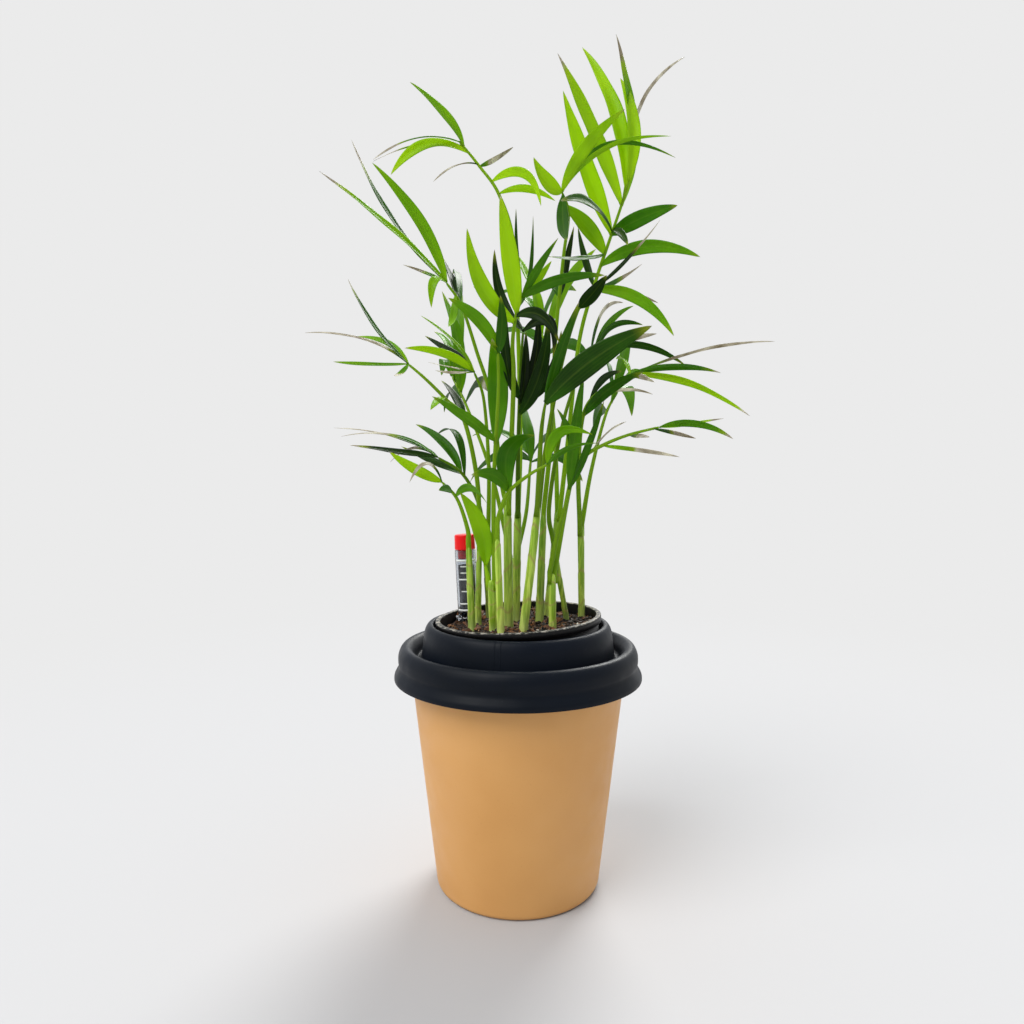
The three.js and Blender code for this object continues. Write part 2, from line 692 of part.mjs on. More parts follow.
      [0.92, 26, 92, 84, 7, 7, 60],
      [0.85, -24, 66, 60, 7, 8, 50],
      [0.8, 34, 70, 60, 7, 8, 50],
      [0.8, 2, 74, 104, 7, 4, 40],
    ],
  },
};

// ---------------------------------------------------------------- palm shapes
const plantScale = plantHeight / designHeight;
const footScale = mixRadius / designSoilRadius;
const place = ([x, y, height]) =>
  new THREE.Vector3(x, y, height).multiplyScalar(plantScale).add(new THREE.Vector3(0, 0, mixMiddleZ));

// A stem runs from its root end, down in the mix, to the top of its sheath.
function stemCurve({ foot, top }) {
  const atMix = new THREE.Vector3(foot[0] * footScale, foot[1] * footScale, mixMiddleZ);
  const rootEnd = atMix.clone().setZ(mixMiddleZ - rootDepth);
  const opening = place(top);
  const half = atMix.clone().lerp(opening, 0.5);
  return new THREE.CatmullRomCurve3([rootEnd, atMix, half, opening], false, "catmullrom", 0.5);
}

const stemRod = ({ foot, top, radii }, spare = 0) =>
  taperedRod(stemCurve({ foot, top }), 5, radii[0] + spare, radii[1] + spare, stemSides);

// Where a frond's petiole leaves its stem: two petioles on one stem stand side by side.
function petioleStart(name) {
  const { stem, path } = fronds[name];
  const curve = stemCurve(stems[stem]);
  const start = curve.getPoint(1).addScaledVector(curve.getTangent(1), 2.5 * seatGap);
  const sister = Object.keys(fronds).find((other) => other !== name && fronds[other].stem === stem);
  if (sister) {
    const apart = place(path[0]).sub(place(fronds[sister].path[0])).setZ(0).normalize();
    start.addScaledVector(apart, forkSpread);
  }
  return start;
}

const rachisCurve = (name) =>
  new THREE.CatmullRomCurve3([petioleStart(name), ...fronds[name].path.map(place)], false, "catmullrom", 0.5);

// Width of a blade along its length, as a share of its widest: a narrow foot, a long belly and a drawn-out tip.
const bladeShape = (share) =>
  Math.max(0.24 * (1 - share), Math.sin(Math.PI * share ** 0.8) ** 0.75);

// A leaflet: a thin keeled blade along an arching midline.
function blade(base, tip, width, arch, turn, spare = 0) {
  const along = tip.clone().sub(base).normalize();
  const upward = new THREE.Vector3(0, 0, 1).addScaledVector(along, -along.z).normalize();
  const bend = base.clone().lerp(tip, 0.45).addScaledVector(upward, 2 * arch);
  const midline = new THREE.QuadraticBezierCurve3(base, bend, tip);
  const front = new THREE.Vector3(0, -1, 0).addScaledVector(along, along.y).normalize();
  front.applyAxisAngle(along, THREE.MathUtils.degToRad(turn));
  const rings = bladeStations.map((share) => {
    const centre = midline.getPoint(share);
    const side = midline.getTangent(share).cross(front).normalize();
    const half = (share < 1 ? (bladeShape(share) * width) / 2 : 0) + spare;
    const keel = share < 1 ? bladeThickness : 0;
    return [
      centre.clone().addScaledVector(side, half),
      centre.clone().addScaledVector(front, -keel - spare),
      centre.clone().addScaledVector(side, -half),
      ...(spare ? [centre.clone().addScaledVector(front, spare)] : []),
    ];
  });
  return loft(rings);
}

// ---------------------------------------------------------------- stems and potting mix
const obstacles = []; // what a later leaflet has to keep clear of
const keepClear = (owner, shape) => obstacles.push({ owner, shape, box: shape.boundingBox() });

for (const [name, stem] of Object.entries(stems)) {
  const rod = stemRod(stem);
  addPiece(name, rod, looks.stem);
  keepClear(name, solid(rod));
}

// The mix fills the pot and its foot, with a low crown, and has a socket for each stem and one for the gauge.
const mixFloor = potWall + seatGap;
const mixProfile = [
  [0, mixFloor - footDepth],
  [footRadius - potWall - seatGap, mixFloor - footDepth],
  [footRadius - potWall - seatGap, mixFloor - potFloorDepth],
  [mixWall(potFloorDepth - mixFloor), mixFloor - potFloorDepth],
  [mixRadius, -mixBelowLip - mixCrown],
  [0.75 * mixRadius, -mixBelowLip],
  [0.4 * mixRadius, 0.7 * mixCrown - mixBelowLip],
  [0, mixCrown - mixBelowLip],
];
let mix = solid(inPot(turned(mixProfile))).subtract(tubeBore(seatGap));
for (const stem of Object.values(stems)) {
  mix = mix.subtract(solid(stemRod(stem, stemClearance)));
}
addPiece("potting_mix", geometryOf(mix), looks.mix);

// ---------------------------------------------------------------- fronds
const rachises = {};
for (const name of Object.keys(fronds)) {
  const curve = rachisCurve(name);
  const steps = 3 * fronds[name].path.length;
  const rod = solid(taperedRod(curve, steps, petioleRadius, rachisTipRadius, rachisSides));
  rachises[name] = { curve, rod };
  keepClear(name, rod);
}

const apart = (a, b) => [0, 1, 2].some((axis) => a.max[axis] < b.min[axis] || b.max[axis] < a.min[axis]);

function clearOfOthers(owner, shape) {
  const box = shape.boundingBox();
  return obstacles.every(
    (other) => other.owner === owner || apart(box, other.box) || shape.intersect(other.shape).isEmpty(),
  );
}

// A leaflet that would cross another frond swings its tip back or forward until it is clear.
const swingStep = 4;
const mostSwings = 9;
const swings = [0];
for (let i = 1; i <= mostSwings; i++) swings.push(-i * swingStep, i * swingStep);

function placedBlade(name, [share, x, y, height, width, arch, turn]) {
  const base = rachises[name].curve.getPoint(share);
  const fit = swings
    .map((swing) => [base, place([x, y + swing, height]), width * plantScale, arch * plantScale, turn])
    .find((leaf) => clearOfOthers(name, solid(blade(...leaf, bladeClearance))));
  if (!fit) throw new Error(name + " has no room for its leaflet at " + share);
  return solid(blade(...fit));
}

for (const [name, { leaflets }] of Object.entries(fronds)) {
  let frond = rachises[name].rod;
  for (const leaflet of leaflets) {
    const leaf = placedBlade(name, leaflet);
    keepClear(name, leaf);
    frond = frond.add(leaf);
  }
  addPiece(name, geometryOf(frond), looks.leaf);
}

export default group;
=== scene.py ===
# A parlour palm in a cup-shaped self-watering planter.
#
# The sections follow the order in which the planter is put together: cup, lid, grow pot, potting mix,
# float gauge, stems, fronds, and last the floor, the lights and the camera. Sizes are in millimetres until
# a mesh is made. The front of the planter faces -Y, and heights are above the surface it stands on.
import math

import bmesh
import bpy
import numpy as np
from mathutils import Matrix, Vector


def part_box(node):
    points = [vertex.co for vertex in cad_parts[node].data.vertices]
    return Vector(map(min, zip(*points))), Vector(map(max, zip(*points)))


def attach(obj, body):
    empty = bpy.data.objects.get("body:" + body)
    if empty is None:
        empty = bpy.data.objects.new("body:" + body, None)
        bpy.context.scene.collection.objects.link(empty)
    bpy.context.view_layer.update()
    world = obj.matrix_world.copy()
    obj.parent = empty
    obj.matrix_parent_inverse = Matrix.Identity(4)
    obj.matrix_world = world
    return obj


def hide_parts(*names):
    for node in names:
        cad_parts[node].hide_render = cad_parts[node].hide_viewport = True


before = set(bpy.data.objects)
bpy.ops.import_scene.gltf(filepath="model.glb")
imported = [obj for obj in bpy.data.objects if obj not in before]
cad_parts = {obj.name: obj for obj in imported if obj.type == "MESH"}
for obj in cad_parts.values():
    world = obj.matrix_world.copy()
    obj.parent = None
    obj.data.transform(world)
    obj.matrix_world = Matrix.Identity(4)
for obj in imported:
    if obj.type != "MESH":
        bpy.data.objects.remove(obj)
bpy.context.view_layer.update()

chance = np.random.default_rng(11)

# ---------------------------------------------------------------- cup
# The outer cup holds the water. It is moulded in kraft-brown plastic with a satin skin, tapers like a
# drinking cup, and ends in a rolled rim that the lid grips.
MM = 0.001


def make_piece(name, points, faces, merge=False):
    """A smooth-shaded mesh object. points is (n, 3) in millimetres, and faces are rows of indices."""
    mesh = bpy.data.meshes.new(name)
    mesh.from_pydata((np.asarray(points) * MM).tolist(), [], faces)
    if merge:
        soft = bmesh.new()
        soft.from_mesh(mesh)
        bmesh.ops.remove_doubles(soft, verts=soft.verts, dist=1e-7)
        soft.to_mesh(mesh)
        soft.free()
    mesh.polygons.foreach_set("use_smooth", np.ones(len(mesh.polygons), bool))
    mesh.update()
    piece = bpy.data.objects.new(name, mesh)
    bpy.context.collection.objects.link(piece)
    return piece


def grid_faces(rows, columns, first=0, ring=True, loop=False):
    """Quads of a grid of rows by columns of points. ring closes each row, and loop joins the last row to the
    first. first is the index of the grid's first point."""
    row = np.arange(rows if loop else rows - 1)[:, None]
    column = np.arange(columns if ring else columns - 1)[None, :]
    next_row, next_column = (row + 1) % rows, (column + 1) % columns
    corners = [
        row * columns + column,
        row * columns + next_column,
        next_row * columns + next_column,
        next_row * columns + column,
    ]
    return (np.stack(np.broadcast_arrays(*corners), -1).reshape(-1, 4) + first).tolist()


def eased(corners, steps=6):
    """An outline from rows of [radius, height, ease]. Each corner is cut off at the distance ease on both of
    its sides and bridged by a parabola: (1 - t)^2 start + 2 t (1 - t) corner + t^2 end."""
    corners = np.asarray(corners, float)
    corner, ease = corners[:, :2], corners[:, 2:]
    back, on = np.roll(corner, 1, 0) - corner, np.roll(corner, -1, 0) - corner
    back_length = np.linalg.norm(back, axis=1, keepdims=True)
    on_length = np.linalg.norm(on, axis=1, keepdims=True)
    start = corner + back / back_length * np.clip(ease, 0.03, 0.49 * back_length)
    end = corner + on / on_length * np.clip(ease, 0.03, 0.49 * on_length)
    t = np.linspace(0, 1, steps)[None, :, None]
    curve = (1 - t) ** 2 * start[:, None] + 2 * t * (1 - t) * corner[:, None] + t**2 * end[:, None]
    return curve.reshape(-1, 2)


def turned_points(outline, steps):
    """The outline swept about the Z axis: (r cos a, r sin a, z), as outline points by angles."""
    angle = np.arange(steps) / steps * 2 * np.pi
    radius, height = outline[:, :1], outline[:, 1:]
    x, y = radius * np.cos(angle), radius * np.sin(angle)
    return np.stack([x, y, np.broadcast_to(height, x.shape)], -1)


def turned(name, corners, steps=192, place=None):
    """A closed outline turned into a solid. Where it meets the axis its points are merged into a pole. place
    moves the finished points."""
    outline = eased(corners)
    points = turned_points(outline, steps).reshape(-1, 3)
    faces = grid_faces(len(outline), steps, loop=outline[0, 0] > 0.05)
    return make_piece(name, place(points) if place else points, faces, merge=True)


def paint(red, green, blue):
    """A colour as a screen shows it, 0 to 255, turned into the linear values that shaders take."""
    share = np.array([red, green, blue]) / 255
    linear = np.where(share <= 0.04045, share / 12.92, ((share + 0.055) / 1.055) ** 2.4)
    return (*linear.tolist(), 1.0)


class Finish:
    """A material with one Principled surface, and short ways to add the nodes that feed it."""

    def __init__(self, name, **surface):
        self.material = bpy.data.materials.new(name)
        self.material.use_nodes = True
        self.tree = self.material.node_tree
        self.surface = self.tree.nodes["Principled BSDF"]
        self.feed(self.surface, **surface)

    def plug(self, socket, value):
        """Links another node's output to a socket, or writes a plain value to it."""
        if isinstance(value, bpy.types.NodeSocket):
            self.tree.links.new(value, socket)
        else:
            socket.default_value = value

    def feed(self, node, **inputs):
        """Sets a node's inputs by name, given with _ for a space."""
        for name, value in inputs.items():
            self.plug(node.inputs[name.replace("_", " ")], value)

    def node(self, kind, settings=(), **inputs):
        node = self.tree.nodes.new("ShaderNode" + kind)
        for name, value in dict(settings).items():
            setattr(node, name, value)
        self.feed(node, **inputs)
        return node

    def place(self, scale=(1, 1, 1)):
        """Object coordinates, stretched by scale."""
        where = self.node("TexCoord").outputs["Object"]
        return self.node("Mapping", Vector=where, Scale=scale).outputs["Vector"]

    def noise(self, scale, detail=3.0, stretch=(1, 1, 1), roughness=0.5):
        node = self.node("TexNoise", Vector=self.place(stretch), Scale=scale)
        self.feed(node, Detail=detail, Roughness=roughness)
        return node.outputs["Fac"]

    def sum(self, operation, first, second=0.0, third=0.0):
        node = self.node("Math", {"operation": operation})
        for slot, value in enumerate((first, second, third)):
            self.plug(node.inputs[slot], value)
        return node.outputs[0]

    def between(self, value, low, high, to_low=0.0, to_high=1.0):
        """Maps value from low..high to to_low..to_high with a smooth step, held at both ends."""
        settings = {"interpolation_type": "SMOOTHSTEP"}
        step = self.node("MapRange", settings, Value=value, To_Min=to_low, To_Max=to_high)
        self.feed(step, From_Min=low, From_Max=high)
        return step.outputs["Result"]

    def ramp(self, share, *stops):
        """A colour from (position, colour) stops."""
        node = self.node("ValToRGB", Fac=share)
        elements = node.color_ramp.elements
        while len(elements) < len(stops):
            elements.new(0.5)
        for element, (position, colour) in zip(elements, stops):
            element.position, element.color = position, colour
        return node.outputs["Color"]

    def mix(self, share, first, second):
        node = self.node("Mix", {"data_type": "RGBA"})
        for slot, value in ((0, share), (6, first), (7, second)):
            self.plug(node.inputs[slot], value)
        return node.outputs[2]

    def blend(self, share, shader):
        """Mixes another shader node into the surface, by share, and shows the two together."""
        both = self.node("MixShader")
        for slot, value in enumerate((share, self.surface.outputs[0], shader.outputs[0])):
            self.plug(both.inputs[slot], value)
        self.plug(self.tree.nodes["Material Output"].inputs["Surface"], both.outputs[0])

    def bump(self, height, depth, strength=1.0, under=None):
        """Surface relief: depth is in millimetres, and under is a relief that this one lies on."""
        node = self.node("Bump", Height=height, Distance=depth * MM, Strength=strength)
        if under:
            self.feed(node, Normal=under)
        return node.outputs["Normal"]


def stand_in(piece, finish, slot, *nodes, body="planter"):
    """Gives a piece its finish, and puts it in the place of CAD nodes on one of the model's bodies."""
    piece.data.materials.append(finish.material)
    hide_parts(*nodes)
    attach(piece, body)
    return piece


cup_high = np.array(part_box("cup")[1]) / MM
cup_height = cup_high[2]
cup_rim = cup_high[0] - 1.1  # radius under the rolled rim
cup_base = 35.1
cup_wall = 1.8
cup_slope = (cup_rim - cup_base) / cup_height


def cup_side(height):
    """Outer radius of the cup at a height: base radius + slope * height."""
    return cup_base + cup_slope * height


cup_corners = [
    [0, 0, 0.1],
    [cup_side(0), 0, 2.4],
    [cup_side(cup_height - 3.4), cup_height - 3.4, 0.4],
    [cup_high[0], cup_height - 2.6, 0.9],
    [cup_high[0], cup_height, 1.1],
    [cup_rim - cup_wall, cup_height, 0.5],
    [cup_side(3) - cup_wall, 3, 3],
    [0, 3, 0.1],
]
kraft = Finish("kraft plastic", Roughness=0.5, IOR=1.46, Coat_Weight=0.06, Coat_Roughness=0.3)
kraft_cloud = kraft.noise(26, 2.0)
kraft_fleck = kraft.between(kraft.noise(1500, 2.0), 0.62, 0.78)
kraft_colour = kraft.ramp(kraft_cloud, (0.3, paint(213, 156, 88)), (0.7, paint(221, 165, 97)))
kraft_colour = kraft.mix(kraft.sum("MULTIPLY", kraft_fleck, 0.14), kraft_colour, paint(172, 118, 60))
kraft_grain = kraft.bump(kraft.noise(2600, 3.0), 0.03, 0.35)
kraft_swell = kraft.bump(kraft.noise(60, 1.0), 0.10, 0.5, under=kraft_grain)
kraft.feed(kraft.surface, Base_Color=kraft_colour, Normal=kraft_swell)
kraft.feed(kraft.surface, Roughness=kraft.between(kraft.noise(140, 4.0), 0.3, 0.7, 0.44, 0.56))
stand_in(turned("outer_cup", cup_corners), kraft, "kraft_plastic", "cup")

# ---------------------------------------------------------------- lid
# One blue-black moulding: a skirt that flares out over the cup, a rounded lip, a trough, and a collar whose
# mouth turns down to guide the grow pot. A plain ring underneath plugs it into the cup.
lid_low, lid_high = (np.array(corner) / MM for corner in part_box("lid"))
skirt = lid_high[0]
seat = cup_height + 0.3
lid_corners = [
    [skirt, 89.8, 0.35],
    [skirt, 91.6, 1.0],
    [skirt - 2.1, 95.3, 1.5],
    [skirt - 1.7, 97.0, 0.8],
    [skirt - 1.7, 100.6, 2.4],
    [skirt - 3.5, 104.0, 1.8],
    [skirt - 6.4, 104.0, 1.8],
    [skirt - 8.7, 101.2, 1.6],
    [skirt - 9.6, 98.2, 0.9],
    [41.5, 98.2, 0.8],
    [40.2, 110.0, 2.6],
    [38.6, 112.9, 2.0],
    [36.4, 112.9, 0.8],
    [36.2, 105.9, 0.3],
    [37.7, 105.9, 0.3],
    [37.7, 110.4, 0.6],
    [38.6, 109.2, 1.2],
    [39.9, 98.2, 0.5],
    [39.9, seat, 0.3],
    [41.6, seat, 0.2],
    [41.6, lid_low[2], 0.4],
    [42.9, lid_low[2], 0.4],
    [42.9, seat, 0.2],
    [45.4, seat, 0.3],
    [45.4, 99.8, 1.2],
    [skirt - 5.7, 102.2, 1.0],
    [skirt - 4.1, 102.2, 1.0],
    [skirt - 3.3, 99.8, 1.2],
    [skirt - 3.5, 96.0, 0.5],
    [skirt - 1.5, 91.4, 0.6],
    [skirt - 1.5, 89.8, 0.35],
]
black = Finish("black plastic", IOR=1.49, Specular_IOR_Level=0.14)
# The collar has a thin mould line on each side of a narrow strip, a little to the left of the front.
black_where = black.node("SeparateXYZ", Vector=black.node("TexCoord").outputs["Object"])
black_x, black_y = black_where.outputs["X"], black_where.outputs["Y"]
black_bearing = black.sum("ARCTAN2", black_x, black.sum("MULTIPLY", black_y, -1.0))
black_across = black.node("CombineXYZ", X=black_x, Y=black_y).outputs[0]
black_radius = black.node("VectorMath", {"operation": "LENGTH"}, Vector=black_across).outputs["Value"]
on_collar = black.between(black_radius, 42 * MM, 43 * MM, 1.0, 0.0)
mould_line = 0.0
for bearing in (-10.2, -13.6):
    off = black.sum("ABSOLUTE", black.sum("SUBTRACT", black_bearing, math.radians(bearing)))
    mould_line = black.sum("ADD", black.between(off, 0.0, 0.009, 1.0, 0.0), mould_line)
black_relief = black.bump(black.noise(1900, 3.0), 0.02, 0.35)
black_relief = black.bump(black.noise(45, 1.0), 0.12, 0.5, under=black_relief)
black_relief = black.bump(black.sum("MULTIPLY", mould_line, on_collar), 0.16, 0.8, under=black_relief)
black_dust = black.between(black.noise(900, 5.0), 0.66, 0.8)
black_colour = black.ramp(black.noise(30, 2.0), (0.3, paint(7, 13, 21)), (0.7, paint(11, 18, 29)))
black_colour = black.mix(black.sum("MULTIPLY", black_dust, 0.05), black_colour, paint(120, 120, 118))
black_gloss = black.between(black.noise(110, 4.0), 0.3, 0.7, 0.4, 0.52)
black.feed(black.surface, Base_Color=black_colour, Roughness=black_gloss, Normal=black_relief)
stand_in(turned("cup_lid", lid_corners), black, "black_plastic", "lid")

# ---------------------------------------------------------------- grow pot
# A thin thermoformed nursery pot with its edge folded over into a lip. It leans a little in the collar, and
# its hollow foot stands on the cup's floor with slots that let the water in. Handling has scuffed the lip.
pot_lean = math.radians(2.812)
pot_lip_z = 115.6
pot_sheet = 1.0
pot_floor = 84.6  # below the lip, as are the other depths
pot_foot = 111.7
foot_radius = 10.9


def lean(points):
    """Turns points about the Y axis through the middle of the pot's lip, and lifts them to its height."""
    x, y, z = np.asarray(points, float).T
    along, up = math.cos(pot_lean), math.sin(pot_lean)
    return np.stack([along * x - up * z, y, up * x + along * z + pot_lip_z], -1)


def pot_inside(depth):
    """Inner radius of the pot's wall at a depth below its lip."""
    return 33.5 - 2.4 * depth / pot_floor


def solidified(piece, thickness):
    """Gives a single sheet its thickness, on the side that its faces look away from."""
    sheet = piece.modifiers.new("thickness", "SOLIDIFY")
    sheet.thickness = thickness * MM
    sheet.offset = -1
    return piece


slot_low, slot_high = 3 - pot_foot, 17 - pot_foot
pot_corners = [
    [35.55, -3.0, 0.03],
    [35.6, 0.0, 0.75],
    [pot_inside(0), 0.0, 0.55],
    [pot_inside(pot_floor), -pot_floor, 1.2],
    [foot_radius - pot_sheet, -pot_floor, 0.8],
    [foot_radius - pot_sheet, slot_high, 0.03],
    [foot_radius - pot_sheet, slot_low, 0.03],
    [foot_radius - pot_sheet, 1.2 - pot_foot, 1.2],
    [0, 1.2 - pot_foot, 0.03],
]
pot_outline = eased(pot_corners)[5:-5]
pot_outline[-1, 0] = 0
pot_steps = 180
pot_points = turned_points(pot_outline, pot_steps)
# Six slots let the water into the foot: the sheet has no face there for 2.4 mm of the way round.
row, column = np.divmod(np.arange((len(pot_outline) - 1) * pot_steps), pot_steps)
middle_height = (pot_outline[row, 1] + pot_outline[row + 1, 1]) / 2
in_slot = np.abs((column + 0.5) * 2 % 60 - 30) * math.radians(foot_radius) < 1.2
in_slot &= (pot_outline[row, 0] < foot_radius) & (middle_height > slot_low) & (middle_height < slot_high)
pot_faces = np.array(grid_faces(len(pot_outline), pot_steps))[~in_slot].tolist()
pot_piece = make_piece("nursery_pot", lean(pot_points.reshape(-1, 3)), pot_faces, True)
solidified(pot_piece, pot_sheet)
scuffed = Finish("scuffed pot plastic", IOR=1.49, Specular_IOR_Level=0.2)
# Object coordinates follow the leaning pot closely enough to tell the lip from the wall.
pot_where = scuffed.node("SeparateXYZ", Vector=scuffed.node("TexCoord").outputs["Object"])
pot_rise = scuffed.sum("MULTIPLY", pot_where.outputs["X"], math.tan(pot_lean))
pot_above = scuffed.sum("SUBTRACT", pot_where.outputs["Z"], pot_rise)
lip_edge = scuffed.between(pot_above, (pot_lip_z - 0.5) * MM, (pot_lip_z - 0.1) * MM)
lip_side = scuffed.between(pot_above, (pot_lip_z - 4.0) * MM, (pot_lip_z - 1.0) * MM)
scrape = scuffed.between(scuffed.noise(520, 5.0, (1, 1, 2.2), 0.65), 0.45, 0.6)
speck = scuffed.between(scuffed.noise(1300, 4.0, (1, 1, 1), 0.7), 0.58, 0.68)
wear = scuffed.sum("MULTIPLY", lip_edge, scrape)
splash = scuffed.sum("MULTIPLY", lip_side, speck)
scuffed_colour = scuffed.ramp(scuffed.noise(60, 3.0), (0.3, paint(10, 11, 13)), (0.7, paint(18, 18, 20)))
scuffed_colour = scuffed.mix(scuffed.sum("MULTIPLY", splash, 0.35), scuffed_colour, paint(96, 82, 68))
scuffed_colour = scuffed.mix(scuffed.sum("MULTIPLY", wear, 0.75), scuffed_colour, paint(192, 186, 174))
scuffed_relief = scuffed.bump(scuffed.noise(700, 5.0), 0.12, 0.5)
scuffed.feed(scuffed.surface, Base_Color=scuffed_colour, Normal=scuffed_relief)
scuffed.feed(scuffed.surface, Roughness=scuffed.between(wear, 0.0, 1.0, 0.42, 0.75))
stand_in(pot_piece, scuffed, "pot_plastic", "grow_pot")

# ---------------------------------------------------------------- potting mix
# Damp peat with coir fibre, bark chips and a few white grains of perlite. It fills the pot and its foot, and
# loose crumbs lie on top.
mix_depth = 4.0  # from the pot's lip down to the mix
mix_z = pot_lip_z - mix_depth
mix_radius = 32.9
mix_waves = chance.normal(0, 1, (70, 2)) * np.geomspace(0.06, 1.5, 70)[:, None]
mix_phase = chance.uniform(0, 2 * np.pi, 70)
mix_swing = 0.62 / (1 + 3.0 * np.geomspace(0.06, 1.5, 70))


def mix_height(x, y):
    """Height of the mix above its level: a low crown, less towards the wall, plus a sum of cosine ripples of
    many lengths and directions, which makes lumps."""
    phase = np.multiply.outer(x, mix_waves[:, 0]) + np.multiply.outer(y, mix_waves[:, 1]) + mix_phase
    ripples = np.cos(phase)
    away = np.hypot(x, y) / mix_radius
    return 0.9 * (1 - away**2) - 0.5 * away**8 + (ripples * mix_swing).sum(-1) * 0.36


mix_rings, mix_steps = 90, 240
mix_r = np.linspace(0, mix_radius, mix_rings)[:, None]
mix_angle = (np.arange(mix_steps) / mix_steps * 2 * np.pi)[None, :]
mix_x, mix_y = mix_r * np.cos(mix_angle), mix_r * np.sin(mix_angle)
mix_top = np.stack([mix_x, mix_y, mix_height(mix_x, mix_y) - mix_depth], -1)[::-1]
mix_sides = np.array([
    [mix_radius - 0.2, -9.0],
    [pot_inside(pot_floor) - 0.4, 1.0 - pot_floor],
    [foot_radius - 1.5, 1.0 - pot_floor],
    [foot_radius - 1.5, 2.0 - pot_foot],
    [0, 2.0 - pot_foot],
])
mix_body = turned_points(mix_sides[::-1], mix_steps)
mix_points = np.concatenate([mix_body, mix_top]).reshape(-1, 3)
mix_faces = grid_faces(len(mix_body) + mix_rings, mix_steps)
mix_piece = make_piece("mix_filling", lean(mix_points), mix_faces, True)

soil = Finish("damp potting mix", Roughness=0.85)
soil_lump = soil.noise(620, 6.0, roughness=0.65)
soil_colour = soil.ramp(
    soil_lump,
    (0.3, paint(12, 9, 8)),
    (0.5, paint(30, 20, 15)),
    (0.62, paint(60, 38, 25)),
    (0.75, paint(104, 70, 44)),
)
soil_relief = soil.bump(soil.noise(1300, 5.0, roughness=0.7), 0.5, 0.9)
soil.feed(soil.surface, Base_Color=soil_colour, Normal=soil_relief)
soil.feed(soil.surface, Roughness=soil.between(soil.noise(330, 3.0), 0.35, 0.65, 0.5, 0.95))
stand_in(mix_piece, soil, "potting_mix", "potting_mix")


def unit(vectors):
    """Vectors divided by their own length."""
    return vectors / np.linalg.norm(vectors, axis=-1, keepdims=True)


def scatter_crumbs(name, count, size, stretch, spread=1.0):
    """Crumbs: an icosahedron for each, pulled out of round, stretched, turned at random and half sunk in the
    mix. size is the mean radius, and stretch the three factors that its corners are multiplied by."""
    ball = bmesh.new()
    bmesh.ops.create_icosphere(ball, subdivisions=1, radius=1)
    corners = np.array([corner.co for corner in ball.verts])
    sides = np.array([[corner.index for corner in side.verts] for side in ball.faces])
    ball.free()
    radius = mix_radius * np.sqrt(chance.uniform(0, 0.97, count)) ** spread
    bearing = chance.uniform(0, 2 * np.pi, count)
    x, y = radius * np.cos(bearing), radius * np.sin(bearing)
    grain = size * chance.lognormal(0, 0.35, count)[:, None, None]
    shape = corners[None] * chance.uniform(0.65, 1.25, (count, len(corners), 1)) * np.array(stretch) * grain
    first = unit(chance.normal(0, 1, (count, 3)) * (1, 1, 0.35))
    third = unit(np.cross(first, chance.normal(0, 1, (count, 3)) * (1, 1, 0.5)))
    turn = np.stack([first, np.cross(third, first), third], 1)
    middle = np.stack([x, y, mix_height(x, y) - mix_depth + 0.3 * grain[:, 0, 0]], -1)
    points = (shape @ turn + middle[:, None]).reshape(-1, 3)
    faces = (sides[None] + len(corners) * np.arange(count)[:, None, None]).reshape(-1, 3)
    piece = make_piece(name, lean(points), faces.tolist())
    piece.data.polygons.foreach_set("use_smooth", np.zeros(len(faces), bool))
    return piece


for name, count, size, stretch, colours in (
    ("peat_crumbs", 1500, 0.55, (1.2, 1.0, 0.8), (paint(14, 10, 8), paint(52, 33, 22))),
    ("bark_chips", 170, 1.05, (1.8, 1.0, 0.45), (paint(62, 36, 20), paint(132, 84, 48))),
    ("coir_threads", 260, 0.34, (9.0, 0.45, 0.45), (paint(96, 60, 34), paint(168, 122, 76))),
    ("perlite_grains", 42, 0.62, (1.1, 1.0, 0.9), (paint(186, 180, 168), paint(226, 222, 212))),
):
    crumb = Finish(name.replace("_", " "), Roughness=0.8)
    crumb_colour = crumb.ramp(crumb.noise(240, 4.0), (0.38, colours[0]), (0.62, colours[1]))
    crumb_relief = crumb.bump(crumb.noise(2400, 4.0), 0.15, 0.8)
    crumb.feed(crumb.surface, Base_Color=crumb_colour, Normal=crumb_relief)
    crumbs = scatter_crumbs(name, count, size, stretch)
    stand_in(crumbs, crumb, "potting_mix", "potting_mix")

# ---------------------------------------------------------------- float gauge
# A clear tube stands in the mix and reaches down through the pot. A foam float in its foot carries a rod with
# a dark plunger, which is read against marks printed on the tube, and a ribbed red cap closes the top.
gauge_bearing = math.radians(153)
gauge_distance = 24.75
gauge_top = 28.4  # above the pot's lip
gauge_foot = -110.8
tube_radius, tube_bore = 4.6, 3.7


def at_gauge(points):
    """Moves points from the gauge's own axis to its place in the leaning pot."""
    shift = (gauge_distance * math.cos(gauge_bearing), gauge_distance * math.sin(gauge_bearing), 0)
    return lean(np.asarray(points) + shift)


tube_corners = [
    [0, gauge_foot, 0.1],
    [tube_radius, gauge_foot, 0.5],
    [tube_radius, -2.4, 0.15],
    [tube_radius + 1.2, -2.4, 0.3],
    [tube_radius + 1.2, -1.2, 0.3],
    [tube_radius, -1.2, 0.3],
    [tube_radius, gauge_top, 0.25],
    [tube_bore, gauge_top, 0.25],
    [tube_bore, gauge_foot + 0.9, 0.4],
    [0, gauge_foot + 0.9, 0.1],
]
clear = Finish("clear plastic", Roughness=0.06, IOR=1.47, Transmission_Weight=1.0)
clear.feed(clear.surface, Base_Color=paint(208, 213, 219))
clear.feed(clear.surface, Normal=clear.bump(clear.noise(220, 2.0, (1, 1, 0.2)), 0.05, 0.5))
stand_in(turned("clear_tube", tube_corners, 96, at_gauge), clear, "clear_plastic", "gauge_tube")

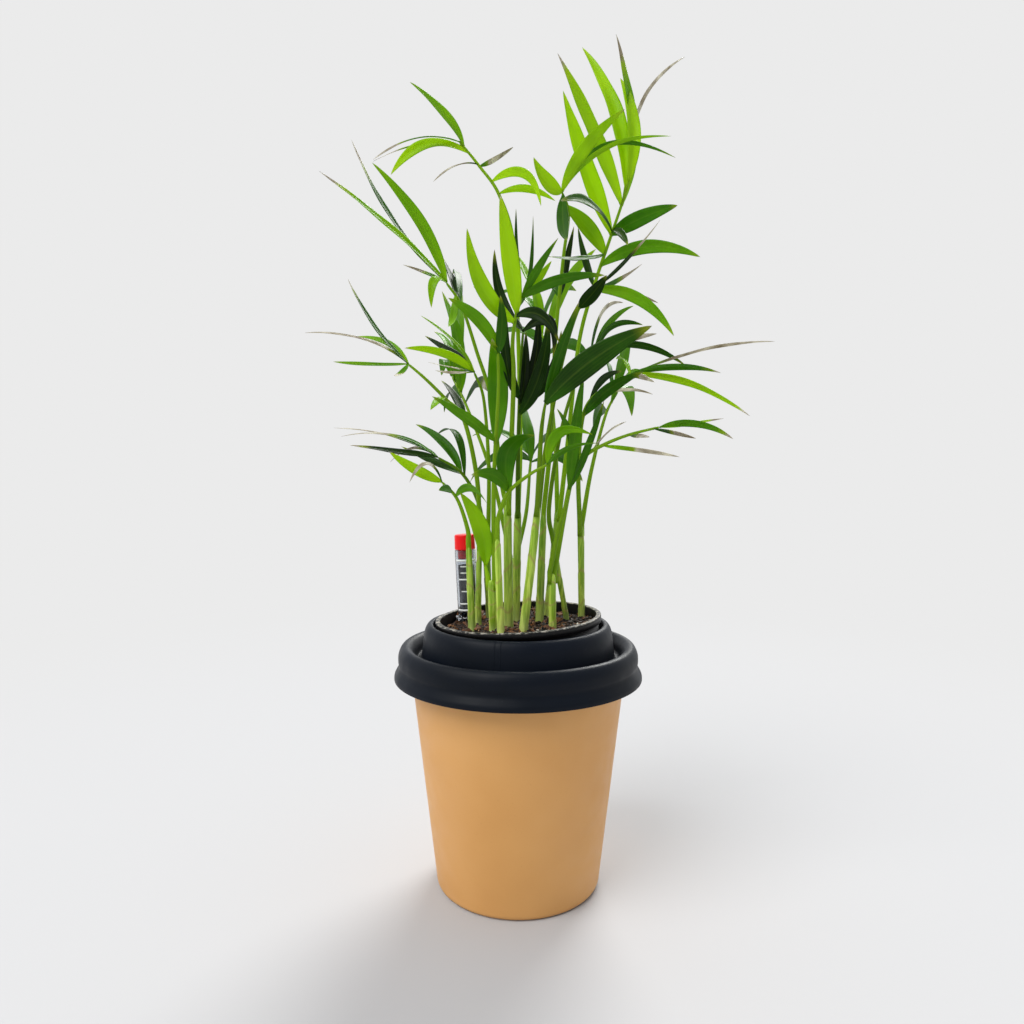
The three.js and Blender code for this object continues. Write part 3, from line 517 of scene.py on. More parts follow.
cap_corners = [
    [0, gauge_top - 4.0, 0.1],
    [3.35, gauge_top - 4.0, 0.4],
    [3.35, gauge_top + 0.3, 0.1],
    [4.55, gauge_top + 0.3, 0.25],
    [4.4, gauge_top + 6.8, 0.7],
    [0, gauge_top + 6.9, 0.1],
]


cap_ribs, rib_height = 24, 0.09


def ribbed(points):
    """Grip ribs: on the cap's side the radius swings by the rib height, once for each rib."""
    x, y, z = points.T
    radius = np.hypot(x, y)
    on_side = (radius > 4.2) & (z > gauge_top + 0.8) & (z < gauge_top + 6.0)
    swell = 1 + on_side * rib_height * np.cos(cap_ribs * np.arctan2(y, x)) / np.maximum(radius, 1)
    return at_gauge(np.stack([x * swell, y * swell, z], -1))


red = Finish("red plastic", Base_Color=paint(240, 0, 4), IOR=1.5, Specular_IOR_Level=0.3)
red.feed(red.surface, Roughness=red.between(red.noise(500, 3.0), 0.3, 0.7, 0.28, 0.4))
red.feed(red.surface, Normal=red.bump(red.noise(1500, 3.0), 0.03, 0.4))
stand_in(turned("red_cap", cap_corners, 192, ribbed), red, "red_plastic", "gauge_cap")

plunger_top = gauge_top - 18.5
float_corners = [
    [0, gauge_foot + 1.2, 0.1],
    [2.9, gauge_foot + 1.2, 0.8],
    [3.0, gauge_foot + 21.2, 0.8],
    [1.05, gauge_foot + 21.2, 0.4],
    [1.05, plunger_top - 20, 0.4],
    [3.0, plunger_top - 19, 0.6],
    [3.0, plunger_top, 0.5],
    [0, plunger_top, 0.1],
]
plunger = Finish("dark plunger", Base_Color=paint(34, 40, 48), IOR=1.5)
plunger.feed(plunger.surface, Roughness=plunger.between(plunger.noise(700, 3.0), 0.3, 0.7, 0.32, 0.45))
float_piece = turned("float_and_plunger", float_corners, 64, at_gauge)
stand_in(float_piece, plunger, "float_foam", "gauge_float", body="float")


def print_and_shade_patch(top, width, drop, bearing_of_middle=-np.pi / 2):
    """A thin patch on the tube, used for the printed marks and for a strip of painted shade, at its front
    unless another bearing is given: top is the height of its upper edge, width its share of a turn, and drop
    how far it reaches down."""
    columns = 13
    bearing = np.linspace(-0.5, 0.5, columns) * width * 2 * np.pi + bearing_of_middle
    inner, outer = tube_radius + 0.01, tube_radius + 0.06
    loop = np.array([[inner, top], [inner, top - drop], [outer, top - drop], [outer, top]])
    x, y = loop[:, :1] * np.cos(bearing), loop[:, :1] * np.sin(bearing)
    points = np.stack([x, y, np.broadcast_to(loop[:, 1:], x.shape)], -1).transpose(1, 0, 2)
    last = 4 * columns - 1
    faces = grid_faces(columns, 4) + [[0, 1, 2, 3], [last, last - 1, last - 2, last - 3]]
    return points.reshape(-1, 3), faces


def join_up(parts):
    """One list of points and one of faces from several (points, faces) pairs."""
    points, faces, first = [], [], 0
    for part_points, part_faces in parts:
        points.append(part_points)
        faces.extend([[first + corner for corner in face] for face in part_faces])
        first += len(part_points)
    return np.concatenate(points), faces


marks = [(24.4, 0.34, 0.9), (21.6, 0.16, 0.5), (18.8, 0.16, 0.5), (16.0, 0.24, 0.7)]
marks += [(10.6, 0.16, 0.5), (5.2, 0.24, 0.7), (2.4, 0.34, 0.9)]
mark_points, mark_faces = join_up([print_and_shade_patch(*mark) for mark in marks])
print_finish = Finish("white print", Roughness=0.5, Base_Color=paint(232, 234, 234))
print_finish.feed(print_finish.surface, Normal=print_finish.bump(print_finish.noise(3000, 3.0), 0.03, 0.5))
print_piece = make_piece("gauge_marks", at_gauge(mark_points), mark_faces)
stand_in(print_piece, print_finish, "clear_plastic", "gauge_tube")

# A dark strip down the back of the tube is painted shade: it darkens the clear tube as if shade behind it
# showed through.
shade_strip_points, shade_strip_faces = print_and_shade_patch(21.0, 0.46, 20.2, np.pi / 2)
shade_strip_finish = Finish("painted shade strip", Roughness=0.4, Base_Color=paint(44, 50, 58))
shade_strip_piece = make_piece("gauge_shade_strip", at_gauge(shade_strip_points), shade_strip_faces)
stand_in(shade_strip_piece, shade_strip_finish, "clear_plastic", "gauge_tube")

# ---------------------------------------------------------------- stems
# Each seedling has a slim stem wrapped in leaf sheaths, pale green and paler at the foot. One sheath ends
# above another in a slanting papery edge, and the last one opens where the petioles come out.
foot_spread = mix_radius / 32.5
STEMS = {
    "stem_01": {"foot": (-19, -12), "top": (-20.5, -12.5, 36), "radii": (1.5, 1.15), "tone": 0.62},
    "stem_02": {"foot": (-10, -15), "top": (-11, -17, 22), "radii": (1.7, 1.5), "tone": 0.85},
    "stem_03": {"foot": (-7, -21), "top": (-8.5, -21, 40), "radii": (1.6, 1.2), "tone": 1.0},
    "stem_04": {"foot": (-4, -5), "top": (-4.5, -7, 52), "radii": (2, 1.5), "tone": 0.7},
    "stem_05": {"foot": (2, -16), "top": (8, -15, 52), "radii": (1.9, 1.5), "tone": 0.95},
    "stem_06": {"foot": (-1, 7), "top": (0, 5, 50), "radii": (1.8, 1.5), "tone": 0.5},
    "stem_07": {"foot": (9, 0), "top": (11, 2.5, 48), "radii": (1.8, 1.3), "tone": 0.3},
    "stem_08": {"foot": (14, -13), "top": (14, -12.5, 24), "radii": (1.6, 1.5), "tone": 0.8},
    "stem_09": {"foot": (21, 2), "top": (15, -2, 36), "radii": (1.2, 1), "tone": 0.35},
    "stem_10": {"foot": (28, 10), "top": (27.5, 7, 42), "radii": (1.3, 1.3), "tone": 0.75},
    "stem_11": {"foot": (-12.5, 15), "top": (-14, 13.5, 30), "radii": (1.6, 1.4), "tone": 0.2},
    "stem_12": {"foot": (13, 11), "top": (18, 12, 48), "radii": (1.9, 1.5), "tone": 0.65},
    "stem_13": {"foot": (-2, 22), "top": (-2, 23, 26), "radii": (1.7, 1.5), "tone": 0.6},
    "stem_14": {"foot": (-17, -1), "top": (-16.5, -3, 34), "radii": (1.4, 1.1), "tone": 0.55},
}


def through(knots, share):
    """Points on the smooth curve through the knots, at shares from 0 to 1: uniform Catmull-Rom, a cubic
    between each two knots whose slope at a knot is half the step between its neighbours."""
    knots = np.asarray(knots, float)
    ends = 2 * knots[0] - knots[1], 2 * knots[-1] - knots[-2]
    knots = np.vstack([ends[0], knots, ends[1]])
    along = np.asarray(share, float) * (len(knots) - 3)
    first = np.clip(along.astype(int), 0, len(knots) - 4)
    t = (along - first)[:, None]
    a, b, c, d = (knots[first + step] for step in range(4))
    return 0.5 * (2 * b + (c - a) * t + (2 * a - 5 * b + 4 * c - d) * t**2 + (3 * b - a - 3 * c + d) * t**3)


def across_frame(centres):
    """The tangent and two unit vectors square to it at each point of a path: the first is tangent x front,
    where front is -Y, and the second is first x tangent."""
    tangent = unit(np.gradient(centres, axis=0))
    first = unit(np.cross(tangent, (0, -1, 0)))
    return tangent, first, np.cross(first, tangent)


def tube(centres, radius):
    """A closed tube: centre + radius (cos a first + sin a second). radius is an array of points by angles."""
    _, first, second = across_frame(centres)
    angle = np.arange(radius.shape[1]) / radius.shape[1] * 2 * np.pi
    ring = np.cos(angle)[:, None] * first[:, None] + np.sin(angle)[:, None] * second[:, None]
    points = centres[:, None] + radius[..., None] * ring
    rows, sides = radius.shape
    faces = grid_faces(rows, sides)
    faces += [list(range(sides))[::-1], list(range((rows - 1) * sides, rows * sides))]
    return points.reshape(-1, 3), faces


def stem_knots(stem):
    """A stem's course: its root end, where it meets the mix, half way up, and where it opens."""
    at_mix = np.array([stem["foot"][0] * foot_spread, stem["foot"][1] * foot_spread, mix_z])
    opening = np.array(stem["top"]) + (0, 0, mix_z)
    return np.array([at_mix - (0, 0, 10), at_mix, (at_mix + opening) / 2, opening])


def add_numbers(piece, name, values):
    """Stores one number for each point of a piece, for its material to read."""
    attribute = piece.data.attributes.new(name, "FLOAT", "POINT")
    attribute.data.foreach_set("value", np.asarray(values, np.float32).ravel())


STEM_ROWS, STEM_SIDES = 120, 28


def sheathed_stem(name, stem):
    """A stem: its radius falls evenly from foot to top, swells by a hair over each sheath until the sheath's
    slanting edge, 1 - smooth step of (share - edge - slant cos a), and closes in round the petioles."""
    share = np.linspace(0.2, 1, STEM_ROWS)
    centres = through(stem_knots(stem), share)
    angle = np.arange(STEM_SIDES) / STEM_SIDES * 2 * np.pi
    up = np.linspace(0, 1, STEM_ROWS)[:, None]
    radius = stem["radii"][0] + (stem["radii"][1] - stem["radii"][0]) * up + 0 * angle
    radius = radius * (1 + 0.05 * np.cos(2 * angle + chance.uniform(0, 6)))
    paper = np.zeros_like(radius)
    for edge in (0.36, 0.62, 0.86):
        slanting = edge + chance.uniform(-0.05, 0.05) + 0.035 * np.cos(angle - chance.uniform(0, 6.3))
        inside = 0.5 - 0.5 * np.tanh((up - slanting) / 0.006)
        radius = radius + 0.16 * inside * np.clip((up - slanting + 0.35) / 0.35, 0, 1)
        paper = np.maximum(paper, np.exp(-(((up - slanting) / 0.012) ** 2)))
    radius = radius + 0.35 * np.exp(-(((up - 0.12) / 0.07) ** 2))
    closing = np.clip((up - 0.93) / 0.07, 0, 1)
    radius = radius * (1 - 0.45 * closing**2)
    points, faces = tube(centres, radius)
    piece = make_piece(name, points, faces)
    add_numbers(piece, "up", np.broadcast_to(up, radius.shape))
    add_numbers(piece, "paper", paper)
    return piece


def stem_finish(name, tone):
    """Pale green with fine lengthwise streaks, dirt-stained at the foot, and papery brown at sheath edges."""
    finish = Finish(name, Roughness=0.42, IOR=1.42)
    up = finish.node("Attribute", {"attribute_name": "up"}).outputs["Fac"]
    paper = finish.node("Attribute", {"attribute_name": "paper"}).outputs["Fac"]
    streak = finish.noise(900, 4.0, (1, 1, 0.06))
    band = finish.noise(260, 2.0, (1, 1, 0.03))
    blotch = finish.noise(150, 3.0, (1, 1, 0.4))
    pale = finish.mix(tone, paint(134, 160, 40), paint(200, 220, 96))
    deep = finish.mix(tone, paint(66, 96, 10), paint(138, 172, 34))
    fibres = finish.between(streak, 0.35, 0.65)
    grain = finish.sum("MULTIPLY_ADD", fibres, 0.4, finish.sum("MULTIPLY", band, 0.6))
    colour = finish.mix(finish.between(grain, 0.3, 0.66), deep, pale)
    greening = finish.sum("MULTIPLY", finish.between(up, 0.3, 1.0), 0.45)
    colour = finish.mix(greening, colour, paint(118, 172, 16))
    whitish = finish.sum("MULTIPLY", finish.between(up, 0.12, 0.4, 1.0, 0.0), 0.34)
    colour = finish.mix(whitish, colour, paint(214, 218, 168))
    near_mix = finish.between(up, 0.06, 0.22, 1.0, 0.0)
    stain = finish.sum("MULTIPLY", near_mix, finish.between(blotch, 0.35, 0.6))
    colour = finish.mix(finish.sum("MULTIPLY", stain, 0.8), colour, paint(96, 70, 44))
    colour = finish.mix(finish.sum("MULTIPLY", paper, 0.6), colour, paint(150, 122, 78))
    relief = finish.bump(streak, 0.12, 0.5)
    finish.feed(finish.surface, Base_Color=colour, Normal=relief, Subsurface_Weight=0.15)
    finish.feed(finish.surface, Subsurface_Radius=(0.6, 1.0, 0.3), Subsurface_Scale=MM)
    return finish


for name, stem in STEMS.items():
    stand_in(sheathed_stem(f"palm_{name}", stem), stem_finish(f"{name} skin", stem["tone"]), "stem", name)

# ---------------------------------------------------------------- fronds
# A frond is a thin petiole that runs on as the rachis, with narrow pointed leaflets along its outer part. New
# fronds are yellow-green and let the light through, and older ones are dark green. The same tone also paints
# shade and light: leaflets inside the clump are painted darker, as if shaded, and lit ones lighter. Some tips
# have dried.
# A path is the points that the petiole passes after leaving its stem, with heights above the mix. A leaflet
# is (share of the way along the path, tip x, y, height, width, arch, turn): the arch is how far its midline
# bows upwards, and the turn is the angle of its face from the plant's front. Most of these numbers were
# worked out by a separate program and copied in, rather than authored by hand.
FRONDS = {
    "frond_low_left_front": {
        "stem": "stem_01",
        "path": [(-21, -13, 43), (-25, -15, 55), (-31, -17, 62)],
        "leaflets": [
            (1, -51, -24, 74, 4.5, -0.5, 20),
            (0.79, -31, -30, 59, 3.5, 1, 30),
            (1, -43, -25, 62, 2.5, 7, 60),
            (0.7, -12, -36, 54, 3.5, 5, 30),
        ],
    },
    "frond_low_left_back": {
        "stem": "stem_11",
        "path": [(-17, 9, 51), (-24, 3, 65), (-34, -2, 72)],
        "leaflets": [
            (1, -70, -8, 77, 4, 0, 50),
            (1, -76, 4, 81, 2.5, 5, 65),
            (1, -81, 12, 85, 2.5, 3, 70),
            (0.68, -46, 20, 87, 4.5, 3, 30),
            (1, -56, 10, 70, 2.5, 5, 60),
            (0.63, -38, 30, 82, 3.5, 12, 45),
            (0.66, -52, 16, 77, 4, 0, 45),
        ],
    },
    "frond_mid_left": {
        "stem": "stem_14",
        "path": [(-17, -9, 62), (-22, -16, 87), (-29, -16, 95), (-37, -18, 103), (-44, -18, 109)],
        "leaflets": [
            (1, -69, -12, 144, 3, -2, 60),
            (1, -83, -26, 120, 3.5, 4, 72),
            (1, -74, -18, 110, 3, -1, 55),
            (1, -67, -5, 122, 3.5, 3.5, 45),
            (1, -48, -30, 103, 3.5, -1.5, 40),
            (0.62, -34, -30, 90, 3.5, 1, 30),
            (0.4, -33, 6, 105, 4, 1.5, 40),
        ],
    },
    "frond_left_short": {
        "stem": "stem_11",
        "path": [(-13, 17, 66), (-15, 14, 97), (-19, 9, 109)],
        "leaflets": [
            (1, -48, 0, 118, 4.5, 3, 20),
            (1, -42, 8, 133, 2.5, 3, 50),
            (1, -37, -8, 111, 2.5, 0, 70),
            (1, -42, 24, 127, 4.5, 1, 35),
            (1, -37, 20, 111, 2.5, -0.5, 60),
        ],
    },
    "frond_upper_left": {
        "stem": "stem_04",
        "path": [(-7, -5, 62), (-11, -7, 95), (-17, -9, 115), (-23, -12, 133), (-29, -14, 142)],
        "leaflets": [
            (1, -57, -22, 186, 5, 4, 15),
            (1, -68, -6, 201, 3.5, -3, 55),
            (1, -77, -24, 182, 4, 2, 50),
            (1, -48, -2, 152, 2.5, 0.5, 50),
            (1, -34, -24, 130, 4, 6, 10),
            (0.88, -27, -28, 122, 3.5, -3, 20),
            (0.87, -33, 18, 160, 3.5, -1, 30),
            (0.82, -30, 34, 157, 3.5, 6, 40),
        ],
    },
    "frond_front_left": {
        "stem": "stem_02",
        "path": [(-10, -18, 60), (-8, -24, 96), (-8, -30, 112)],
        "leaflets": [
            (1, -26, -42, 130, 5.5, 2.5, 15),
            (0.48, -10, -38, 116, 8.5, 15.5, 5),
            (0.49, -32, -44, 94, 4.5, 2, 15),
            (0.99, -7, -32, 133, 4.5, -2, 20),
        ],
    },
    "frond_young_blade": {
        "stem": "stem_02",
        "path": [(-13.5, -17, 28)],
        "leaflets": [(1, -23, -26, 58, 7.5, 3, 10)],
    },
    "frond_front_upright": {
        "stem": "stem_04",
        "path": [(-2, -16, 101), (-2.4, -21, 116), (-1.2, -24, 126), (1.2, -23, 134)],
        "leaflets": [
            (0.8, -7, -36, 169, 7, -0.5, 5),
            (0.71, -19, -42, 155, 6.5, -5, 10),
            (1, 13, -20, 149, 3.5, 0, 25),
            (1, 33, -30, 141, 4.5, 3, 30),
            (1, -1, -14, 171, 2.5, -3, 50),
            (1, 15, -30, 155, 3.5, 1.5, 30),
            (0.89, 6, -8, 170, 2.5, -7, 50),
            (0.77, 15, -40, 114, 5, 6, 20),
        ],
    },
    "frond_top_left": {
        "stem": "stem_06",
        "path": [(1, 9, 79), (0, 6, 126), (-2, 1, 162), (-8, -4, 180), (-16, -8, 190), (-24, -10, 199)],
        "leaflets": [
            (0.96, -43, -14, 220, 5, 2, 40),
            (0.99, -55, -30, 184, 2.5, 4.5, 60),
            (0.96, -60, -2, 194, 4, 3.5, 60),
            (0.91, -50, -20, 182, 5.5, 7, 25),
            (0.84, -33, -24, 178, 2.5, 2.5, 60),
            (0.83, -2, 6, 203, 2.5, 0, 55),
            (0.73, 9, -14, 172, 4, 7.5, 35),
            (0.67, 16, 10, 182, 3.5, 3.5, 45),
        ],
    },
    "frond_centre": {
        "stem": "stem_06",
        "path": [(0, -2, 75), (1, -6, 108), (2, -6, 124)],
        "leaflets": [
            (1, 14, -14, 113, 5, 9.5, 30),
            (0.48, 12, -16, 126, 6.5, -3.5, 15),
            (1, -20, 24, 149, 4.5, -0.5, 30),
            (1, -10, 4, 160, 4.5, -4.5, 20),
            (0.51, 3, -12, 123, 4, -1.5, 20),
            (0.52, 8, -4, 133, 5, -3, 15),
            (0.54, -5, -20, 131, 5, -6.5, 20),
            (0.52, 18, -2, 125, 5, -4.5, 20),
        ],
    },
    "frond_top_centre": {
        "stem": "stem_07",
        "path": [(14, 4, 79), (16, 6, 122), (19, 4, 155), (21, 0, 173), (18, -4, 181)],
        "leaflets": [
            (1, 41, -22, 206, 5.5, 5.5, 15),
            (1, 61, -12, 200, 2.5, 8.5, 50),
            (1, 64, -8, 193, 2.5, 14.5, 55),
            (1, 6, -14, 191, 6.5, -3, 10),
            (0.97, 18, -34, 153, 5.5, -3, 30),
            (0.5, 25, 22, 175, 3.5, -3, 15),
            (0.5, 9, 24, 147, 4, 4.5, 40),
        ],
    },
    "frond_crown": {
        "stem": "stem_12",
        "path": [(22, 12, 79), (27, 15, 123), (34, 14, 149), (39, 12, 164), (44, 8, 179), (47, 6, 189)],
        "leaflets": [
            (0.84, 41, 6, 249, 7, 8.5, 50),
            (0.84, 15, -20, 228, 7, 4.5, 15),
            (0.93, 28, 20, 251, 7, 6, 10),
            (1, 44, 14, 235, 6, 5.5, 10),
            (0.71, 19, 8, 227, 8, -0.5, 10),
            (0.71, 64, -12, 173, 7, 1.5, 10),
            (0.56, 72, -18, 151, 6, 6.5, 15),
            (0.72, 16, -26, 170, 6, 6, 30),
            (0.62, 17, 0, 178, 7.5, 3.5, 10),
            (1, 74, 24, 249, 2.5, 10.5, 60),
            (0.73, 43, -20, 155, 3.5, 1, 30),
            (0.62, 11, -34, 147, 3.5, -1.5, 35),
            (0.48, 27, 24, 175, 3.5, -0.5, 15),
        ],
    },
    "frond_right_upper": {
        "stem": "stem_05",
        "path": [(11, -12, 74), (17, -11, 107), (24, -10, 131), (30, -10, 140)],
        "leaflets": [
            (1, 62, -18, 120, 5, 4.5, 20),
            (1, 54, 12, 156, 2.5, -1, 50),
            (1, 55, -22, 164, 2.5, -2, 60),
            (0.78, 34, -26, 142, 6, 0, 20),
            (1, 62, 16, 140, 2.5, 0.5, 50),
        ],
    },
    "frond_broad_right": {
        "stem": "stem_05",
        "path": [(8.9, -20, 79), (9.7, -23, 88), (10.5, -25, 93)],
        "leaflets": [
            (1, 50, -36, 121, 10, 2, 10),
            (0.93, 23, -31, 131, 4.5, 0, 20),
        ],
    },
    "frond_mid_right_low": {
        "stem": "stem_10",
        "path": [(26, 3, 66), (28, 0, 91), (36, -4, 101), (46, -8, 106)],
        "leaflets": [
            (1, 82, -14, 106, 4, 3, 50),
            (1, 91, -24, 88, 3.5, 3.5, 45),
            (1, 111, 8, 122, 2.5, 2.5, 68),
            (1, 53, -26, 101, 2.5, 1, 55),
            (0.6, 60, 16, 100, 2.5, 3, 55),
            (0.48, 50, -18, 106, 5.5, 4, 25),
            (0.58, 46, 14, 110, 3.5, 4.5, 30),
            (1, 43, 12, 115, 3.5, 3, 45),
        ],
    },
    "frond_mid_right_high": {
        "stem": "stem_09",
        "path": [(13, -5, 51), (18, -4, 83), (26, 4, 107), (36, 10, 120)],
        "leaflets": [
            (1, 72, 4, 111, 3.5, 4, 35),
            (0.91, 52, 22, 140, 3.5, 3.5, 40),
            (0.96, 54, 8, 129, 4, 6, 55),
            (1, 64, 30, 129, 3.5, 0.5, 35),
            (0.88, 50, 40, 145, 2.5, 10, 50),
        ],
    },
    "frond_low_right": {
        "stem": "stem_08",
        "path": [(21.9, -11, 63), (26.9, -12, 72), (34.7, -14, 77), (44.7, -16, 81), (56.7, -18, 84)],
        "leaflets": [
            (1, 84, -26, 79, 3.5, 3, 40),
            (1, 85, -8, 88, 2.5, -0.5, 55),
            (0.96, 68, -32, 79, 2.5, 0.5, 60),
            (0.59, 64, -22, 72, 3, 1, 50),
            (0.49, 48, 14, 88, 2.5, 2.5, 70),
            (0.8, 58, 12, 81, 2.5, -0.5, 50),
        ],
    },
    "frond_low_bifid": {
        "stem": "stem_08",
        "path": [(16, -16, 41), (19.5, -17, 54), (20.5, -17, 59)],
        "leaflets": [
            (1, 26, -19, 105, 5, 1.5, 15),
            (1, 35, -12, 95, 3.5, -0.5, 25),
            (1, 15, -24, 91, 4.5, 8.5, 30),
        ],
    },
    "frond_front_low_right": {
        "stem": "stem_03",
        "path": [(-8, -22, 48), (-4, -26, 58), (4, -30, 65), (11, -32, 69)],
        "leaflets": [
            (1, 27, -44, 80, 4.5, 8, 25),
            (0.53, 6, -38, 80, 8, 9, 15),
            (1, 30, -38, 77, 3.5, 3, 55),
            (0.5, -18, -38, 65, 5.5, 3.5, 20),
        ],
    },
    "frond_back_high": {
        "stem": "stem_12",
        "path": [(17, 24, 80), (14, 40, 118), (10, 56, 142)],
        "leaflets": [
            (1, 8, 98, 150, 7, 9, 75),
            (0.95, -14, 90, 158, 7, 8, 60),
            (0.92, 32, 92, 162, 7, 8, 60),
            (0.85, -6, 72, 182, 7, 5, 45),
            (0.8, 40, 70, 178, 7, 5, 45),
            (0.75, -16, 66, 132, 7, 7, 50),
            (0.7, 38, 76, 124, 7, 7, 50),
        ],
    },
    "frond_back_left": {
        "stem": "stem_13",
        "path": [(-12, 31, 64), (-24, 42, 96), (-32, 52, 112)],
        "leaflets": [
            (1, -40, 84, 116, 7, 8, 60),
            (0.95, -42, 66, 136, 6, 7, 50),
            (0.92, -34, 92, 132, 7, 8, 65),
            (0.85, -28, 74, 156, 7, 5, 40),
            (0.8, -37, 56, 154, 7, 5, 40),
            (0.75, -38, 76, 96, 7, 8, 60),
            (0.7, -14, 80, 106, 7, 8, 60),
        ],
    },
    "frond_back_right": {
        "stem": "stem_10",
        "path": [(33, 18, 66), (41, 32, 92), (48, 42, 104)],
        "leaflets": [
            (1, 60, 76, 94, 7, 8, 50),
            (0.95, 54, 90, 114, 7, 8, 60),
            (0.92, 66, 60, 112, 6, 6, 50),
            (0.85, 44, 84, 126, 7, 7, 60),
            (0.8, 58, 60, 136, 7, 4, 40),
            (0.7, 40, 80, 84, 7, 7, 60),
        ],
    },
    "frond_back_low": {
        "stem": "stem_13",
        "path": [(4, 32, 46), (6, 44, 66), (7, 54, 74)],
        "leaflets": [
            (1, -2, 98, 72, 8, 8, 70),
            (0.95, -24, 86, 84, 7, 7, 60),
            (0.92, 26, 92, 84, 7, 7, 60),
            (0.85, -24, 66, 60, 7, 8, 50),
            (0.8, 34, 70, 60, 7, 8, 50),
            (0.8, 2, 74, 104, 7, 4, 40),
        ],
    },
}
# How light each leaflet is, from deep green at 0 to yellow-green at 1, in the order of its table above: its
# age, and painted shade and light, low inside the clump and high where it is lit.
LEAF_AGE_AND_SHADE = {
    "frond_low_left_front": (0.95, 0.5, 0.3, 0.6),
    "frond_low_left_back": (0.12, 0.5, 0.4, 0.45, 0.3, 0.35, 0.3),
    "frond_mid_left": (0.35, 0.3, 0.7, 0.75, 0.6, 0.8, 0.15),
    "frond_left_short": (1, 0.75, 0.4, 0.12, 0.4),
    "frond_upper_left": (0.75, 0.35, 0.75, 0.6, 0.85, 0.8, 0.1, 0.3),
    "frond_front_left": (0.72, 0.6, 0.65, 0.4),
    "frond_young_blade": (0.8,),
    "frond_front_upright": (0.97, 0.93, 0.9, 0.5, 0.3, 0.6, 0.35, 0.03),
    "frond_top_left": (0.75, 0.65, 0.55, 0.92, 0.3, 0.5, 0.95, 0.95),
    "frond_centre": (0.03, 0.12, 0.06, 0.1, 0.02, 0.08, 0.2, 0.1),
    "frond_top_centre": (0.82, 0.8, 0.5, 1, 0.35, 0.08, 0.3),
    "frond_crown": (0.72, 0.95, 0.9, 0.97, 0.95, 0.45, 0.6, 0.38, 0.85, 0.8, 0.2, 0.45, 0.08),
    "frond_right_upper": (0.7, 0.5, 0.15, 0.12, 0.3),
    "frond_broad_right": (0.25, 0.45),
    "frond_mid_right_low": (0.5, 0.9, 0.4, 0.2, 0.25, 0.34, 0.12, 0.8),
    "frond_mid_right_high": (0.2, 0.6, 0.35, 0.3, 0.4),
    "frond_low_right": (0.5, 0.9, 0.3, 0.8, 0.4, 0.3),
    "frond_low_bifid": (0.5, 0.42, 0.45),
    "frond_front_low_right": (0.68, 0.52, 0.55, 0.6),
    "frond_back_high": (0.7, 0.6, 0.55, 0.8, 0.75, 0.45, 0.4),
    "frond_back_left": (0.6, 0.7, 0.5, 0.75, 0.65, 0.35, 0.3),
    "frond_back_right": (0.55, 0.6, 0.7, 0.5, 0.65, 0.35),
    "frond_back_low": (0.4, 0.5, 0.45, 0.3, 0.35, 0.55),
}
# Leaflets whose far end has dried, by number in that table, and the share of their length where it starts.
DRIED = {
    "frond_crown": {0: 0.88, 1: 0.93, 9: 0.35},
    "frond_top_left": {1: 0.72, 2: 0.72, 4: 0.3, 5: 0.25},
    "frond_upper_left": {1: 0.85, 2: 0.88, 3: 0.55},
    "frond_mid_left": {0: 0.9, 1: 0.25, 4: 0.6},
    "frond_left_short": {2: 0.4, 4: 0.2},
    "frond_low_left_back": {0: 0.9, 1: 0.55, 2: 0.5, 4: 0.4},
    "frond_low_left_front": {2: 0.3},
    "frond_right_upper": {1: 0.6, 2: 0.7, 4: 0.3},
    "frond_mid_right_low": {0: 0.93, 1: 0.93, 2: 0.25, 3: 0.4, 4: 0.45},
    "frond_low_right": {0: 0.9, 1: 0.8, 2: 0.5, 3: 0.45, 4: 0.15, 5: 0.3},
    "frond_mid_right_high": {3: 0.5, 4: 0.4},
    "frond_back_high": {1: 0.85},
    "frond_back_left": {6: 0.7},
    "frond_back_low": {2: 0.8},
}


def petiole_start(name):
    """Where a frond leaves its stem: just above the opening, and beside its sister frond if it has one."""
    knots = stem_knots(STEMS[FRONDS[name]["stem"]])
    tangent = unit(knots[-1] - through(knots, [0.985])[0])
    start = knots[-1] + 0.75 * tangent
    sisters = [other for other in FRONDS if other != name and FRONDS[other]["stem"] == FRONDS[name]["stem"]]
    if sisters:
        apart = np.subtract(FRONDS[name]["path"][0], FRONDS[sisters[0]]["path"][0]) * (1, 1, 0)
        start = start + 1.35 * unit(apart)
    return start, tangent


BLADE_ROWS, BLADE_COLUMNS = 36, 11
NEVER_DRY = 2.0  # a share of the length past any tip


